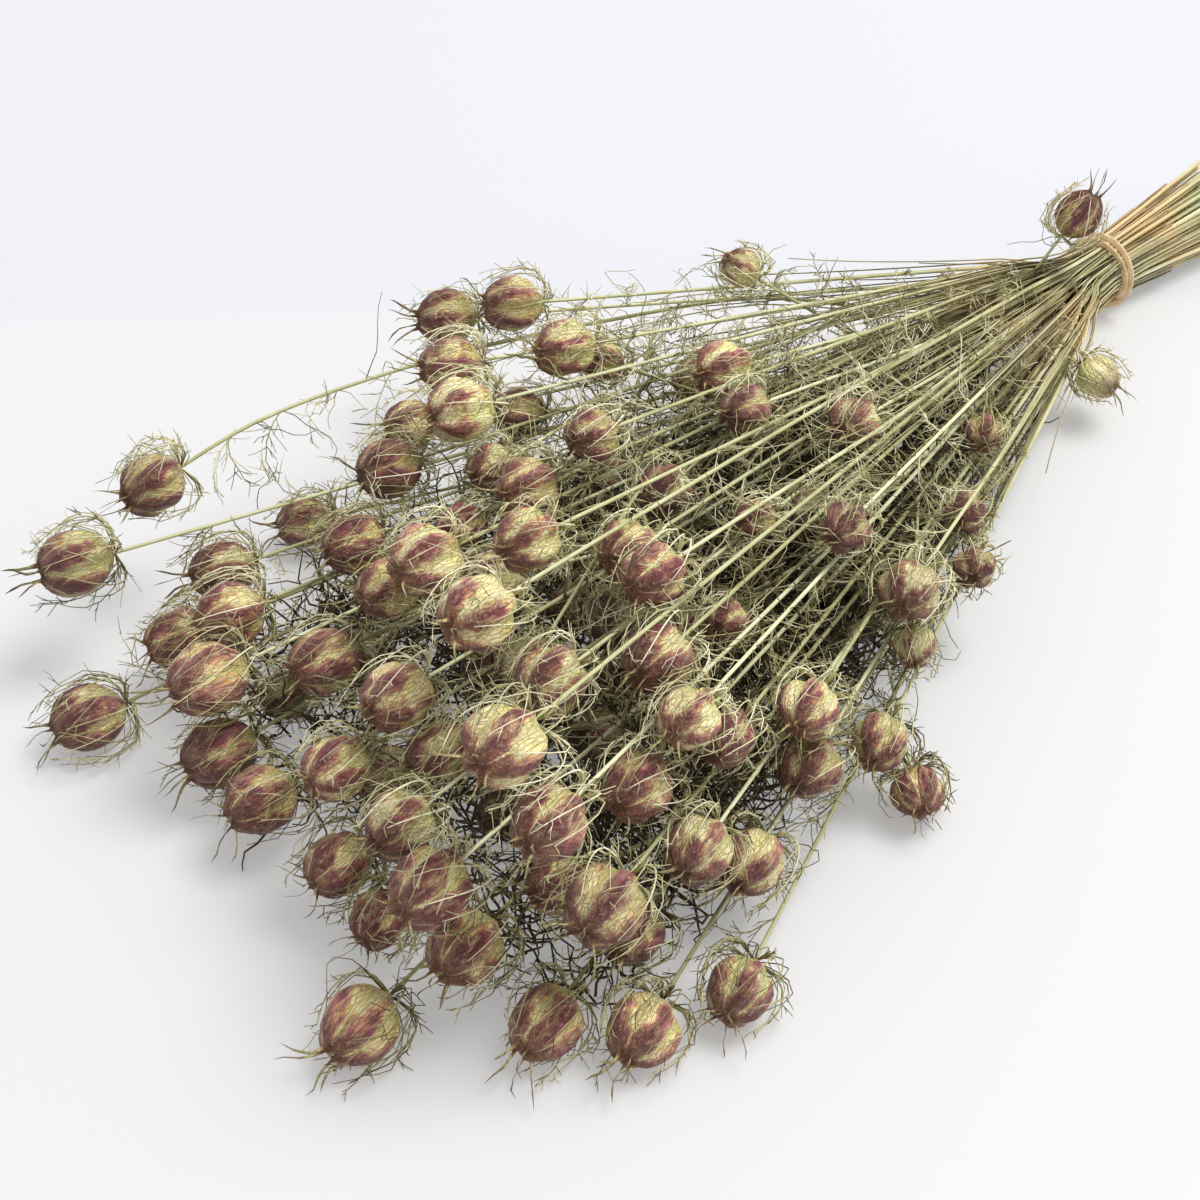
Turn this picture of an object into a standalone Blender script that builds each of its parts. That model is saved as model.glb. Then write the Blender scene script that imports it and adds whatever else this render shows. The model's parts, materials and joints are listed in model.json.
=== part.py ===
"""A tied bunch of dried love-in-a-mist stems, lying on a table, each with its leaves and its seed pods.

The stems pass through a doubled rubber band, fan out and end in pods.
+X runs from the cut ends to the pods, +Z is up, and the table is z = 0.
"""

import math

import bmesh
import bpy
import numpy as np
from mathutils import Matrix, Vector

MM = 0.001

# The pods that end a tied stem: reach from the tie in mm, bearing in degrees, height in mm, width in mm.
LEAD_PODS = (
    (254, -24, 60, 21), (276, -27, 50, 21), (290, -17, 62, 21), (256, -12, 76, 21),
    (311, -8, 84, 22), (312, -15, 55, 18), (216, -2, 72, 21), (232, 7, 78, 18),
    (202, 14, 68, 19), (293, 1, 90, 17), (315, 0, 78, 20), (337, -9, 62, 21),
    (406, -17, 50, 22), (440, -14, 45, 23), (359, -7, 55, 20), (368, 2, 84, 22),
    (353, 7, 100, 20), (318, 9, 95, 19), (264, 18, 75, 17), (262, 22, 56, 20),
    (336, 13, 92, 20), (392, -13, 24, 21), (407, -7, 42, 22), (418, -10, 20, 21),
    (375, -1, 60, 20), (398, -2, 50, 22), (392, 9, 108, 22), (384, 12, 86, 21),
    (354, 15, 86, 21), (426, -3, 46, 24), (433, -3, 20, 23), (457, -9, 10, 23),
    (409, 6, 74, 21), (428, 14, 106, 23), (370, 17, 74, 19), (355, 19, 64, 18),
    (331, 20, 60, 19), (304, 24, 28, 19), (428, 5, 54, 20), (385, 17, 62, 21),
    (336, 22, 34, 20), (436, 1, 18, 22), (432, 9, 56, 20), (427, 16, 80, 22),
    (387, 20, 44, 20), (364, 21, 28, 21), (448, 12, 56, 23), (438, 6, 24, 20),
    (425, 18, 52, 23), (441, 13, 24, 22), (410, 19, 18, 19), (440, 17, 10, 22),
    (428, 20, 10, 21), (407, 22, 12, 20), (471, 11, 10, 23),
)

# Smaller pods on side branches, given the same way. The first four stand near the tie.
SIDE_PODS = (
    (27, 11, 62, 18), (76, 36, 20, 16), (62, 5, 40, 11), (174, -16, 72, 15),
    (238, -13, 58, 16), (310, -5, 66, 17), (204, -9, 50, 18), (276, -11, 56, 17),
    (334, -2, 66, 16), (349, 3, 72, 17), (276, 13, 76, 14), (199, 24, 44, 15),
    (156, 22, 44, 14), (219, 26, 34, 15), (309, 16, 60, 15), (265, 24, 32, 14),
    (308, 27, 12, 17), (411, 9, 60, 18), (414, 15, 34, 18), (445, 9, 16, 18),
    (352, -17, 8, 19),
)

# Further side pods fill the underside and the far side, where there is most room.
FILL_PODS = 22
FILL_REACH = (240, 440)
FILL_BEARING = (-9, 21)
FILL_HEIGHT = (12, 62)
FILL_WIDTH = (16, 20)
FILL_TRIES = 40

# Pods. Lengths along a pod are given from its centre, as shares of its width.
POD_HALF = 0.58            # from its centre to its foot, and to the root of its horns
POD_HEART = -0.2           # where its stem ends, inside it
POD_CROWN = 0.72           # with the heart, the ends of the rounded space it fills with its horns
POD_SIDES = 10
POD_RINGS = ((-0.66, 0.68), (0.08, 1.0), (0.80, 0.50))   # height and radius of each ring on a pod of radius 1
LOBE_HALF = math.radians(12)
HORN_TIP = (0.62, 1.95)    # radius and height of a horn's tip, the same way

# Stems
CUT_LENGTH = (84 * MM, 104 * MM)
CUT_SPREAD = 0.7
STEM_RADIUS = (1.15 * MM, 0.8 * MM)
BRANCH_RADIUS = 0.75 * MM
STEM_STEPS = 7
BRANCH_STEPS = 3
BRANCH_LENGTH = 85 * MM
SPLAY = 1.22               # a stem leaves the tie this much wider than its pod's bearing
ARCHED_STEM = 12           # this stem arches round the far side of the bunch, and isn't straightened
ARCH = (0.67, 1.95)        # how far along that stem aims, and how much wider than its pod's bearing
SLOT_SPACING = 1.62 * MM
GOLDEN_ANGLE = math.pi * (3 - math.sqrt(5))
COLUMNS = 7

# Rubber band
BAND_RADIUS = 0.95 * MM
BAND_AT = -5 * MM          # along the bunch, just behind where the stems start to fan out
BAND_SPREAD = 3.4 * MM
BAND_POINTS = 36
BAND_NEAR = math.radians(35)   # where its two turns cross, below the +Y side

# Threads: bracts round a pod and leaves along a stem
THREAD_RADIUS = 0.42 * MM
BRACTS = (3, 2, 1)         # on a stem's own pod, on a side pod, and on one that fills the bunch
BRACT_ROOT = 0.08          # inset of the small face a bract grows from, on a pod of radius 1
BRACT_SHAPE = ((0.45, -0.77), (1.36, -0.96), (1.44, 0.62))   # radius and height of its root, bend and tip
LEAVES = 2
LEAF_STEP = (17 * MM, 16 * MM)
LEAF_TRIES = 9

# Spacing
GAP = 0.45 * MM
ROUNDS = 340
SMOOTH_ROUNDS = 230
POD_GIVE = 0.45
POD_TURN = 0.06            # how much of the way a pod turns to line up with its stem in each round
FLAT = 0.5 * MM            # how far what lies lowest is flattened on the table
LYING = 0.6 * MM           # a pod less than this above the table lies on one of its lobes

SEED = 11
STRAW_GREEN = (0.42, 0.43, 0.24, 1.0)
STRAW_RANGE = 0.12
BAND_TAN = (0.72, 0.52, 0.31, 1.0)


class Strand:
    """A stem or side branch and its pod: points from its root to the pod's heart, then the pod's crown."""

    def __init__(self, points, radii, width, node, parent=None):
        self.points = np.array(points, float)
        self.radii = list(radii)
        self.width = width
        self.node = node
        self.parent = parent


def clear_scene():
    for obj in list(bpy.data.objects):
        bpy.data.objects.remove(obj)


def table_place(reach, bearing, height):
    """The point at this reach and bearing from the tie, this high over the table, all in mm and degrees."""
    angle = math.radians(bearing)
    return np.array((reach * math.cos(angle), reach * math.sin(angle), height)) * MM


def slots(count):
    """Where the stems pass through the tie, across it, as seeds sit in a sunflower."""
    index = np.arange(count)
    radius = SLOT_SPACING * np.sqrt(index + 0.5)
    return np.stack([radius * np.cos(index * GOLDEN_ANGLE), radius * np.sin(index * GOLDEN_ANGLE)], axis=1)


def band_radius(share):
    """From the middle of the bundle to the band, which goes from its inner turn to its outer one."""
    furthest = BAND_SPREAD + BAND_RADIUS - BAND_AT
    bundle = SLOT_SPACING * math.sqrt(len(LEAD_PODS)) * (1 + CUT_SPREAD * furthest / CUT_LENGTH[0]) + STEM_RADIUS[0]
    return bundle + GAP + BAND_RADIUS * (1 + 2.16 * share)


def tie_height():
    return band_radius(1) + BAND_RADIUS - FLAT


def slot_of_each_lead():
    """Gives the stems their slots in order: by bearing across the tie, and by height in each column."""
    across = slots(len(LEAD_PODS))
    leads = sorted(range(len(LEAD_PODS)), key=lambda i: LEAD_PODS[i][1])
    places = sorted(range(len(across)), key=lambda i: across[i][0])
    found = {}
    for some_leads, some_places in zip(np.array_split(leads, COLUMNS), np.array_split(places, COLUMNS)):
        by_height = sorted(some_leads, key=lambda i: LEAD_PODS[i][2])
        by_slot = sorted(some_places, key=lambda i: across[i][1])
        for lead, place in zip(by_height, by_slot):
            found[lead] = across[place]
    return found


def bend(start, middle, end, steps):
    """Points on a quadratic Bezier curve, both ends included."""
    t = np.linspace(0, 1, steps + 1)[:, None]
    return (1 - t) ** 2 * start + 2 * t * (1 - t) * middle + t * t * end


def unit(vector):
    return vector / np.linalg.norm(vector)


def heart_and_crown(centre, direction, width):
    along = unit(direction) * width
    return centre + along * POD_HEART, centre + along * POD_CROWN


def pod_centre(strand):
    heart, crown = strand.points[-2:]
    return heart + (crown - heart) * -POD_HEART / (POD_CROWN - POD_HEART)


def lead_strand(row, slot, node, draw):
    reach, bearing, height, width = row
    width *= MM
    across, up = slot
    tie = np.array((0, across, tie_height() + up))
    centre = table_place(reach, bearing, height)
    along, splay = ARCH if node == ARCHED_STEM else (0.5, SPLAY)
    aim = table_place(along * reach, splay * bearing, 0)
    aim[2] = tie[2] + 0.62 * (centre[2] - tie[2])
    lean = np.array((0, draw.uniform(-0.35, 0.35), draw.uniform(-0.4, 0.1)))
    heart, crown = heart_and_crown(centre, unit(centre - aim) + lean, width)
    cut = draw.uniform(*CUT_LENGTH)
    cut_end = np.array((-cut, across * (1 + CUT_SPREAD), tie[2] * 0.95 + 0.75 * up))
    head = bend(tie, aim, heart, STEM_STEPS)
    radii = np.linspace(STEM_RADIUS[0], STEM_RADIUS[1], len(head) + 1)
    return Strand([cut_end, *head, crown], radii, width, node)


def side_strand(row, strands, load, draw):
    """A side branch to this pod, from the stem that passes nearest and carries least."""
    reach, bearing, height, width = row
    width *= MM
    centre = table_place(reach, bearing, height)
    fork_reach = max(reach * MM - BRANCH_LENGTH, -12 * MM)
    best = None
    for parent, strand in enumerate(strands[: len(LEAD_PODS)]):
        stem = strand.points[:-2]
        at = int(np.argmin(np.abs(np.linalg.norm(stem[:, :2], axis=1) * np.sign(stem[:, 0] + 1e-9) - fork_reach)))
        at = max(at, 2)
        cost = np.linalg.norm(stem[at] - centre) * (1 + 0.8 * load[parent])
        if best is None or cost < best[0]:
            best = (cost, parent, at)
    _, parent, at = best
    load[parent] += 1
    fork = strands[parent].points[at]
    along = unit(strands[parent].points[at + 1] - fork)
    aim = fork + along * 0.45 * np.linalg.norm(centre - fork)
    lean = np.array((0, draw.uniform(-0.3, 0.3), draw.uniform(-0.3, 0.3)))
    heart, crown = heart_and_crown(centre, unit(centre - aim) + lean, width)
    route = bend(fork, aim, heart, BRANCH_STEPS)
    return Strand([*route, crown], [BRANCH_RADIUS] * len(route), width, strands[parent].node, (parent, at))


def fill_row(centres, draw):
    """Of some random places low in the bunch, the one furthest from every pod so far."""
    best = None
    for _ in range(FILL_TRIES):
        row = [draw.uniform(*limits) for limits in (FILL_REACH, FILL_BEARING, FILL_HEIGHT, FILL_WIDTH)]
        place = table_place(*row[:3])
        room = min(np.linalg.norm(place - other) for other in centres)
        if best is None or room > best[0]:
            best = (room, row, place)
    centres.append(best[2])
    return best[1]


def all_strands():
    draw = np.random.default_rng(SEED)
    slot_of = slot_of_each_lead()
    strands = [lead_strand(row, slot_of[i], i, draw) for i, row in enumerate(LEAD_PODS)]
    load = [0] * len(strands)
    centres = [table_place(*row[:3]) for row in LEAD_PODS + SIDE_PODS]
    rows = list(SIDE_PODS) + [fill_row(centres, draw) for _ in range(FILL_PODS)]
    for row in rows:
        strands.append(side_strand(row, strands, load, draw))
    return strands


def closest(p, u, q, v):
    """How far along each of the segments p to p + u and q to q + v they come closest, and the vector there."""
    w = p - q
    uu, uv, vv = (u * u).sum(1), (u * v).sum(1), (v * v).sum(1)
    uw, vw = (u * w).sum(1), (v * w).sum(1)
    s = np.clip((uv * vw - vv * uw) / np.maximum(uu * vv - uv * uv, 1e-18), 0, 1)
    t = np.clip((uv * s + vw) / np.maximum(vv, 1e-18), 0, 1)
    s = np.clip((uv * t - uw) / np.maximum(uu, 1e-18), 0, 1)
    return s, t, w + s[:, None] * u - t[:, None] * v


class Segments:
    """Every straight stretch of the strands as arrays, with a pod as a fat last stretch."""

    def __init__(self, strands):
        first, second, radius, strand = [], [], [], []
        offset = 0
        for number, s in enumerate(strands):
            count = len(s.points)
            for k in range(count - 1):
                pod = k == count - 2
                first.append(offset + k)
                second.append(offset + k + 1)
                radius.append(s.width / 2 if pod else max(s.radii[k], s.radii[k + 1]))
                strand.append(number)
            offset += count
        self.first, self.second = np.array(first), np.array(second)
        self.radius, self.strand = np.array(radius), np.array(strand)
        self.offsets = np.cumsum([0] + [len(s.points) for s in strands])
        self.allowed = self.strand[:, None] < self.strand[None, :]
        for number, s in enumerate(strands):
            if s.parent is not None:
                root = self.strand == number
                root &= self.first == self.offsets[number]
                parent = self.strand == s.parent[0]
                self.allowed[np.ix_(root, parent)] = False
                self.allowed[np.ix_(parent, root)] = False


def spread_apart(strands):
    """Moves stems, and pods less, until none touches another, none is under the table, and each is smooth."""
    segments = Segments(strands)
    points = np.concatenate([s.points for s in strands])
    give = np.ones(len(points))
    floor = np.full(len(points), STEM_RADIUS[0] + 0.3 * MM)
    smooth = np.zeros(len(points), bool)
    for number, s in enumerate(strands):
        start, end = segments.offsets[number], segments.offsets[number + 1]
        give[end - 2:end] = POD_GIVE
        floor[end - 2:end] = s.width / 2 - FLAT
        if s.parent is None:
            give[start + 1] = 0
            smooth[start + 2:end - 2] = s.node != ARCHED_STEM
        else:
            smooth[start + 1:end - 2] = True
    before = np.where(smooth)[0]
    for turn in range(ROUNDS):
        p, q = points[segments.first], points[segments.second]
        middle, half = (p + q) / 2, np.linalg.norm(q - p, axis=1) / 2 + segments.radius + GAP
        near = np.linalg.norm(middle[:, None] - middle[None], axis=2) < half[:, None] + half[None]
        one, two = np.where(near & segments.allowed)
        s, t, apart = closest(p[one], (q - p)[one], p[two], (q - p)[two])
        distance = np.linalg.norm(apart, axis=1)
        lack = segments.radius[one] + segments.radius[two] + GAP - distance
        tight = lack > 0
        one, two, s, t, lack = one[tight], two[tight], s[tight], t[tight], lack[tight]
        push = apart[tight] / np.maximum(distance[tight], 1e-9)[:, None] * (0.5 * lack)[:, None]
        moved = np.zeros_like(points)
        count = np.full(len(points), 1e-9)
        for index, weight, sign in (
            (segments.first[one], 1 - s, 1), (segments.second[one], s, 1),
            (segments.first[two], 1 - t, -1), (segments.second[two], t, -1),
        ):
            np.add.at(moved, index, sign * push * weight[:, None])
            np.add.at(count, index, weight)
        points = points + 1.6 * give[:, None] * moved / np.maximum(count, 1)[:, None]
        if turn < SMOOTH_ROUNDS:
            points[before] += 0.12 * (points[before - 1] + points[before + 1] - 2 * points[before])
        points[:, 2] = np.maximum(points[:, 2], floor)
        for number, strand in enumerate(strands):
            start, end = segments.offsets[number], segments.offsets[number + 1]
            if strand.parent is not None:
                points[start] = points[segments.offsets[strand.parent[0]] + strand.parent[1]]
            before_heart, heart, crown = points[end - 3:end]
            axis = unit(unit(crown - heart) + POD_TURN * unit(heart - before_heart))
            middle = (heart + crown) / 2 - axis * strand.width * (POD_HEART + POD_CROWN) / 2
            points[end - 2:end] = heart_and_crown(middle, axis, strand.width)
    for number, strand in enumerate(strands):
        strand.points = points[segments.offsets[number]:segments.offsets[number + 1]]
    return len(lack), float(lack.max()) if len(lack) else 0.0


def frame_of(direction):
    """Two unit vectors square to this direction, and it."""
    along = unit(direction)
    side = unit(np.cross(along, (0.0, 0.0, 1.0) if abs(along[2]) < 0.9 else (0.0, 1.0, 0.0)))
    return side, np.cross(along, side), along


class Pod:
    """Where a pod is and how it is turned, and which of its low faces carry a bract."""

    def __init__(self, strand, turn):
        heart, crown = strand.points[-2:]
        side, other, along = frame_of(crown - heart)
        across = side * math.cos(turn) + other * math.sin(turn)
        self.axes = np.array((across, np.cross(along, across), along)).T
        self.centre = pod_centre(strand)
        self.size = np.array((0.5, 0.5, POD_HALF)) * strand.width
        self.bracts = []

    def place(self, points):
        return self.centre + (np.asarray(points) * self.size) @ self.axes.T

    def bract(self, number):
        """The points of the bract on this low face, of the ten round the foot."""
        angle = 2 * math.pi * number / POD_SIDES
        return self.place([(r * math.cos(angle), r * math.sin(angle), h) for r, h in BRACT_SHAPE])


def leaf(strand, at, share, angle):
    """Three points of a thread leaf that leaves the stem forwards and bends out."""
    start, end = strand.points[at], strand.points[at + 1]
    side, other, along = frame_of(end - start)
    out = side * math.cos(angle) + other * math.sin(angle)
    root = start + (end - start) * share
    knee = root + (along * 0.86 + out * 0.51) * LEAF_STEP[0]
    return np.array([root, knee, knee + (along * 0.5 + out * 0.87) * LEAF_STEP[1]])


class Obstacles:
    """What a thread of one node has to stay clear of: every other node."""

    def __init__(self, strands):
        self.p, self.q, self.radius, self.node = [], [], [], []
        for s in strands:
            for k in range(len(s.points) - 1):
                pod = k == len(s.points) - 2
                self.add(s.points[k], s.points[k + 1], s.width / 2 if pod else s.radii[k], s.node)

    def add(self, p, q, radius, node):
        self.p.append(p)
        self.q.append(q)
        self.radius.append(radius)
        self.node.append(node)

    def clear(self, thread, node):
        if thread[:, 2].min() < 2 * THREAD_RADIUS:
            return False
        p, q = np.array(self.p), np.array(self.q)
        others = np.array(self.node) != node
        need = np.array(self.radius)[others] + THREAD_RADIUS + GAP
        for start, end in zip(thread[:-1], thread[1:]):
            count = int(others.sum())
            _, _, apart = closest(np.tile(start, (count, 1)), np.tile(end - start, (count, 1)),
                                  p[others], (q - p)[others])
            if (np.linalg.norm(apart, axis=1) < need).any():
                return False
        return True

    def take(self, thread, node):
        for start, end in zip(thread[:-1], thread[1:]):
            self.add(start, end, THREAD_RADIUS, node)


def lobe_down(strand):
    """The turn that puts a pod's first lobe underneath."""
    side, other, _ = frame_of(strand.points[-1] - strand.points[-2])
    return math.atan2(-other[2], -side[2])


def turned_pods(strands, obstacles, draw):
    """The pods, each with its bracts where they are clear of the other nodes."""
    pods = []
    for index, strand in enumerate(strands):
        turn = draw.uniform(0, 2 * math.pi)
        low = pod_centre(strand)[2] < strand.width / 2 + LYING
        made = Pod(strand, lobe_down(strand) if low else turn)
        fills = index >= len(LEAD_PODS) + len(SIDE_PODS)
        limit = BRACTS[(strand.parent is not None) + fills]
        first = int(draw.integers(POD_SIDES))
        for step in (0, 3, 7, 5, 1, 8, 2, 6, 4, 9):
            number = (first + step) % POD_SIDES
            beside = any((number - other) % POD_SIDES in (1, POD_SIDES - 1) for other in made.bracts)
            if len(made.bracts) == limit or beside:
                continue
            if obstacles.clear(made.bract(number), strand.node):
                obstacles.take(made.bract(number), strand.node)
                made.bracts.append(number)
        pods.append(made)
    return pods


def leaves_of(strands, obstacles, draw):
    """The thread leaves of each node, each turned round its stem until it is clear of the other nodes."""
    leaves = {}
    for strand in strands[:len(LEAD_PODS)]:
        for _ in range(LEAVES):
            for _ in range(LEAF_TRIES):
                at = int(draw.integers(3, len(strand.points) - 3))
                thread = leaf(strand, at, draw.uniform(0.1, 0.9), draw.uniform(0, 2 * math.pi))
                if obstacles.clear(thread, strand.node):
                    obstacles.take(thread, strand.node)
                    leaves.setdefault(strand.node, []).append(thread)
                    break
    return leaves


def material(name, colour, roughness):
    made = bpy.data.materials.new(name)
    made.use_nodes = True
    shader = made.node_tree.nodes["Principled BSDF"]
    shader.inputs["Base Color"].default_value = colour
    shader.inputs["Roughness"].default_value = roughness
    shader.inputs["Metallic"].default_value = 0.0
    return made


def link(obj, collection):
    collection.objects.link(obj)
    return obj


def triangle_profile():
    """A three-cornered outline, one unit in radius, that thin stems and threads are swept from."""
    curve = bpy.data.curves.new("thread_profile", "CURVE")
    spline = curve.splines.new("POLY")
    spline.points.add(2)
    for number, point in enumerate(spline.points):
        angle = 2 * math.pi * number / 3
        point.co = (math.cos(angle), math.sin(angle), 0, 1)
    spline.use_cyclic_u = True
    return link(bpy.data.objects.new("thread_profile", curve), bpy.context.scene.collection)


def as_mesh(obj, collection):
    """Replaces a curve object with its closed mesh, the caps welded on."""
    graph = bpy.context.evaluated_depsgraph_get()
    mesh = bpy.data.meshes.new_from_object(obj.evaluated_get(graph))
    body = bmesh.new()
    body.from_mesh(mesh)
    bmesh.ops.remove_doubles(body, verts=body.verts, dist=0.02 * MM)
    bmesh.ops.recalc_face_normals(body, faces=body.faces)
    body.to_mesh(mesh)
    body.free()
    name = obj.name
    bpy.data.objects.remove(obj)
    return link(bpy.data.objects.new(name, mesh), collection)


def rod(name, points, radii, profile, collection):
    """A closed three-sided rod along these points, with this radius at each."""
    curve = bpy.data.curves.new(name, "CURVE")
    curve.dimensions = "3D"
    curve.bevel_mode = "OBJECT"
    curve.bevel_object = profile
    curve.use_fill_caps = True
    spline = curve.splines.new("POLY")
    spline.points.add(len(points) - 1)
    for point, place, radius in zip(spline.points, points, radii):
        point.co = (*place, 1)
        point.radius = radius
    obj = link(bpy.data.objects.new(name, curve), collection)
    bpy.context.view_layer.update()
    return as_mesh(obj, collection)


def face_number(face):
    """Which of the ten faces round a pod's foot or top this is. The even ones are on a lobe."""
    centre = face.calc_center_median()
    turn = math.atan2(centre.y, centre.x) / (2 * math.pi) * 5
    lobe = round(turn)
    if abs(turn - lobe) < 0.2:
        return 2 * lobe % POD_SIDES
    return (2 * math.floor(turn) + 1) % POD_SIDES


def grow_bract(body, face, points):
    """Draws a thread out of a pod's face, through the second of these points to the third."""
    bmesh.ops.inset_individual(body, faces=[face], thickness=BRACT_ROOT)
    root = face.calc_center_median()
    offsets = [(corner.co - root).normalized() for corner in face.verts]
    face.normal_update()
    bend_at, tip = Vector(points[1]), Vector(points[2])
    ahead = (bend_at - root).normalized() + (tip - bend_at).normalized()
    turned = face.normal.rotation_difference(ahead.normalized())
    grown = bmesh.ops.extrude_discrete_faces(body, faces=[face])["faces"][0]
    return grown, [(corner, turned @ offset) for corner, offset in zip(grown.verts, offsets)], bend_at, tip


def pod(placed, name, collection):
    """A pod of five lobes, each drawn out into a horn at the top, with its bracts round the foot."""
    body = bmesh.new()
    bmesh.ops.create_uvsphere(body, u_segments=POD_SIDES, v_segments=len(POD_RINGS) + 1, radius=1)
    heights = sorted({round(v.co.z, 4) for v in body.verts})
    for vertex in body.verts:
        ring = heights.index(round(vertex.co.z, 4)) - 1
        if 0 <= ring < len(POD_RINGS):
            corner = math.floor(math.atan2(vertex.co.y, vertex.co.x) * POD_SIDES / (2 * math.pi)) % POD_SIDES
            lobe = 2 * math.pi * (corner // 2) / 5
            angle = lobe + (LOBE_HALF if corner % 2 else -LOBE_HALF)
            height, radius = POD_RINGS[ring]
            vertex.co = (radius * math.cos(angle), radius * math.sin(angle), height)
    body.normal_update()
    by_height = sorted(body.verts, key=lambda v: v.co.z)
    low_faces = {face_number(face): face for face in by_height[0].link_faces}
    lobe_faces = [face for face in by_height[-1].link_faces if face_number(face) % 2 == 0]
    tip_radius, tip_height = HORN_TIP
    for vertex in bmesh.ops.poke(body, faces=lobe_faces)["verts"]:
        angle = math.atan2(vertex.co.y, vertex.co.x)
        vertex.co = (tip_radius * math.cos(angle), tip_radius * math.sin(angle), tip_height)
    shapes = []
    for number in placed.bracts:
        angle = 2 * math.pi * number / POD_SIDES
        points = [(r * math.cos(angle), r * math.sin(angle), h) for r, h in BRACT_SHAPE]
        shapes.append(grow_bract(body, low_faces[number], points))
    for grown, corners, bend_at, tip in shapes:
        for corner, offset in corners:
            corner.co = bend_at + offset * THREAD_RADIUS / placed.size[0]
        bmesh.ops.poke(body, faces=[grown])["verts"][0].co = tip
    mesh = bpy.data.meshes.new(name)
    body.to_mesh(mesh)
    body.free()
    axes = Matrix([list(row) for row in placed.axes]).to_4x4()
    mesh.transform(Matrix.Translation(placed.centre) @ axes @ Matrix.Diagonal((*placed.size, 1)))
    return link(bpy.data.objects.new(name, mesh), collection)


def apply_modifiers(obj):
    bpy.context.view_layer.update()
    graph = bpy.context.evaluated_depsgraph_get()
    mesh = bpy.data.meshes.new_from_object(obj.evaluated_get(graph))
    obj.modifiers.clear()
    obj.data = mesh


def join(base, others):
    """One body from the base and a collection of pieces that are sunk into it."""
    union = base.modifiers.new("join", "BOOLEAN")
    union.operation = "UNION"
    union.solver = "EXACT"
    union.operand_type = "COLLECTION"
    union.collection = others
    apply_modifiers(base)
    for obj in list(others.objects):
        bpy.data.objects.remove(obj)
    bpy.data.collections.remove(others)


def flatten_on_table(obj, table):
    """Cuts off what reaches below the table, which leaves a small flat spot to rest on."""
    if min(v.co.z for v in obj.data.vertices) > -1e-6:
        return
    cut = obj.modifiers.new("flat_spot", "BOOLEAN")
    cut.operation = "DIFFERENCE"
    cut.object = table
    apply_modifiers(obj)


def leafy_stem(number, members, pods, leaves, profile, collection):
    """One cut stem as one body, with its side branches, pods, bracts and leaves."""
    name = f"stem_{number + 1:02d}"
    pieces = bpy.data.collections.new(name + "_pieces")
    bpy.context.scene.collection.children.link(pieces)
    lead = members[0]
    base = rod(name, lead.points[:-1], lead.radii, profile, collection)
    for count, strand in enumerate(members[1:]):
        rod(f"{name}_branch{count}", strand.points[:-1], strand.radii, profile, pieces)
    for count, placed in enumerate(pods):
        pod(placed, f"{name}_pod{count}", pieces)
    for count, points in enumerate(leaves):
        rod(f"{name}_leaf{count}", points, (THREAD_RADIUS, THREAD_RADIUS, 0), profile, pieces)
    join(base, pieces)
    return base


def rubber_band(collection):
    """A closed band that goes round the stems twice. Its turns cross low on the +Y side, one over the other."""
    curve = bpy.data.curves.new("tie", "CURVE")
    curve.dimensions = "3D"
    curve.bevel_depth = BAND_RADIUS
    curve.bevel_resolution = 1
    spline = curve.splines.new("POLY")
    spline.points.add(BAND_POINTS - 1)
    for number, point in enumerate(spline.points):
        turn = 4 * math.pi * number / BAND_POINTS
        radius = band_radius((1 + math.sin(turn / 2)) / 2)
        angle = turn + math.pi - BAND_NEAR
        place = (BAND_AT + BAND_SPREAD * math.cos(turn / 2), radius * math.cos(angle), tie_height() + radius * math.sin(angle))
        point.co = (*place, 1)
    spline.use_cyclic_u = True
    obj = link(bpy.data.objects.new("tie", curve), collection)
    bpy.context.view_layer.update()
    return as_mesh(obj, collection)


def table_block():
    """A block whose top is the table: a cutter, not a part."""
    cutters = bpy.data.collections.new("cutters")
    bpy.context.scene.collection.children.link(cutters)
    bpy.ops.mesh.primitive_cube_add(size=1, location=(0.2, 0, -0.05), scale=(1.6, 1.6, 0.1))
    block = bpy.context.active_object
    for collection in list(block.users_collection):
        collection.objects.unlink(block)
    link(block, cutters)
    block.name = "table_cutter"
    block.hide_render = True
    block.display_type = "WIRE"
    return block


def centre_on_table(collection):
    """Puts the middle of the whole bunch, as seen from above, at x = 0 and y = 0."""
    corners = np.array([v.co[:2] for obj in collection.objects for v in obj.data.vertices])
    middle = (corners.min(0) + corners.max(0)) / 2
    for obj in collection.objects:
        obj.data.transform(Matrix.Translation((-middle[0], -middle[1], 0)))


def main():
    clear_scene()
    bunch = bpy.data.collections.new("nigella_bunch")
    bpy.context.scene.collection.children.link(bunch)
    strands = all_strands()
    spread_apart(strands)
    draw = np.random.default_rng(SEED + 1)
    obstacles = Obstacles(strands)
    pods = turned_pods(strands, obstacles, draw)
    leaves = leaves_of(strands, obstacles, draw)
    profile = triangle_profile()
    table = table_block()
    for number in range(len(LEAD_PODS)):
        mine = [k for k, strand in enumerate(strands) if strand.node == number]
        members, member_pods = [strands[k] for k in mine], [pods[k] for k in mine]
        stem = leafy_stem(number, members, member_pods, leaves.get(number, []), profile, bunch)
        tint = 1 + draw.uniform(-STRAW_RANGE, STRAW_RANGE, 3)
        colour = (*(np.array(STRAW_GREEN[:3]) * tint), 1.0)
        stem.data.materials.append(material(stem.name + "_straw", colour, 0.75))
        flatten_on_table(stem, table)
    tie = rubber_band(bunch)
    tie.data.materials.append(material("rubber_band", BAND_TAN, 0.6))
    flatten_on_table(tie, table)
    bpy.data.objects.remove(profile)
    centre_on_table(bunch)


main()
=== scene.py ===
"""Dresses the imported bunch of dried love-in-a-mist: papery striped pods with wiry horns and lacy bracts,
ribbed stems with thread leaves, and the tan band, on a white table in soft light.

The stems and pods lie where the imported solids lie, because both are laid out by the same rule.
"""

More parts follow.
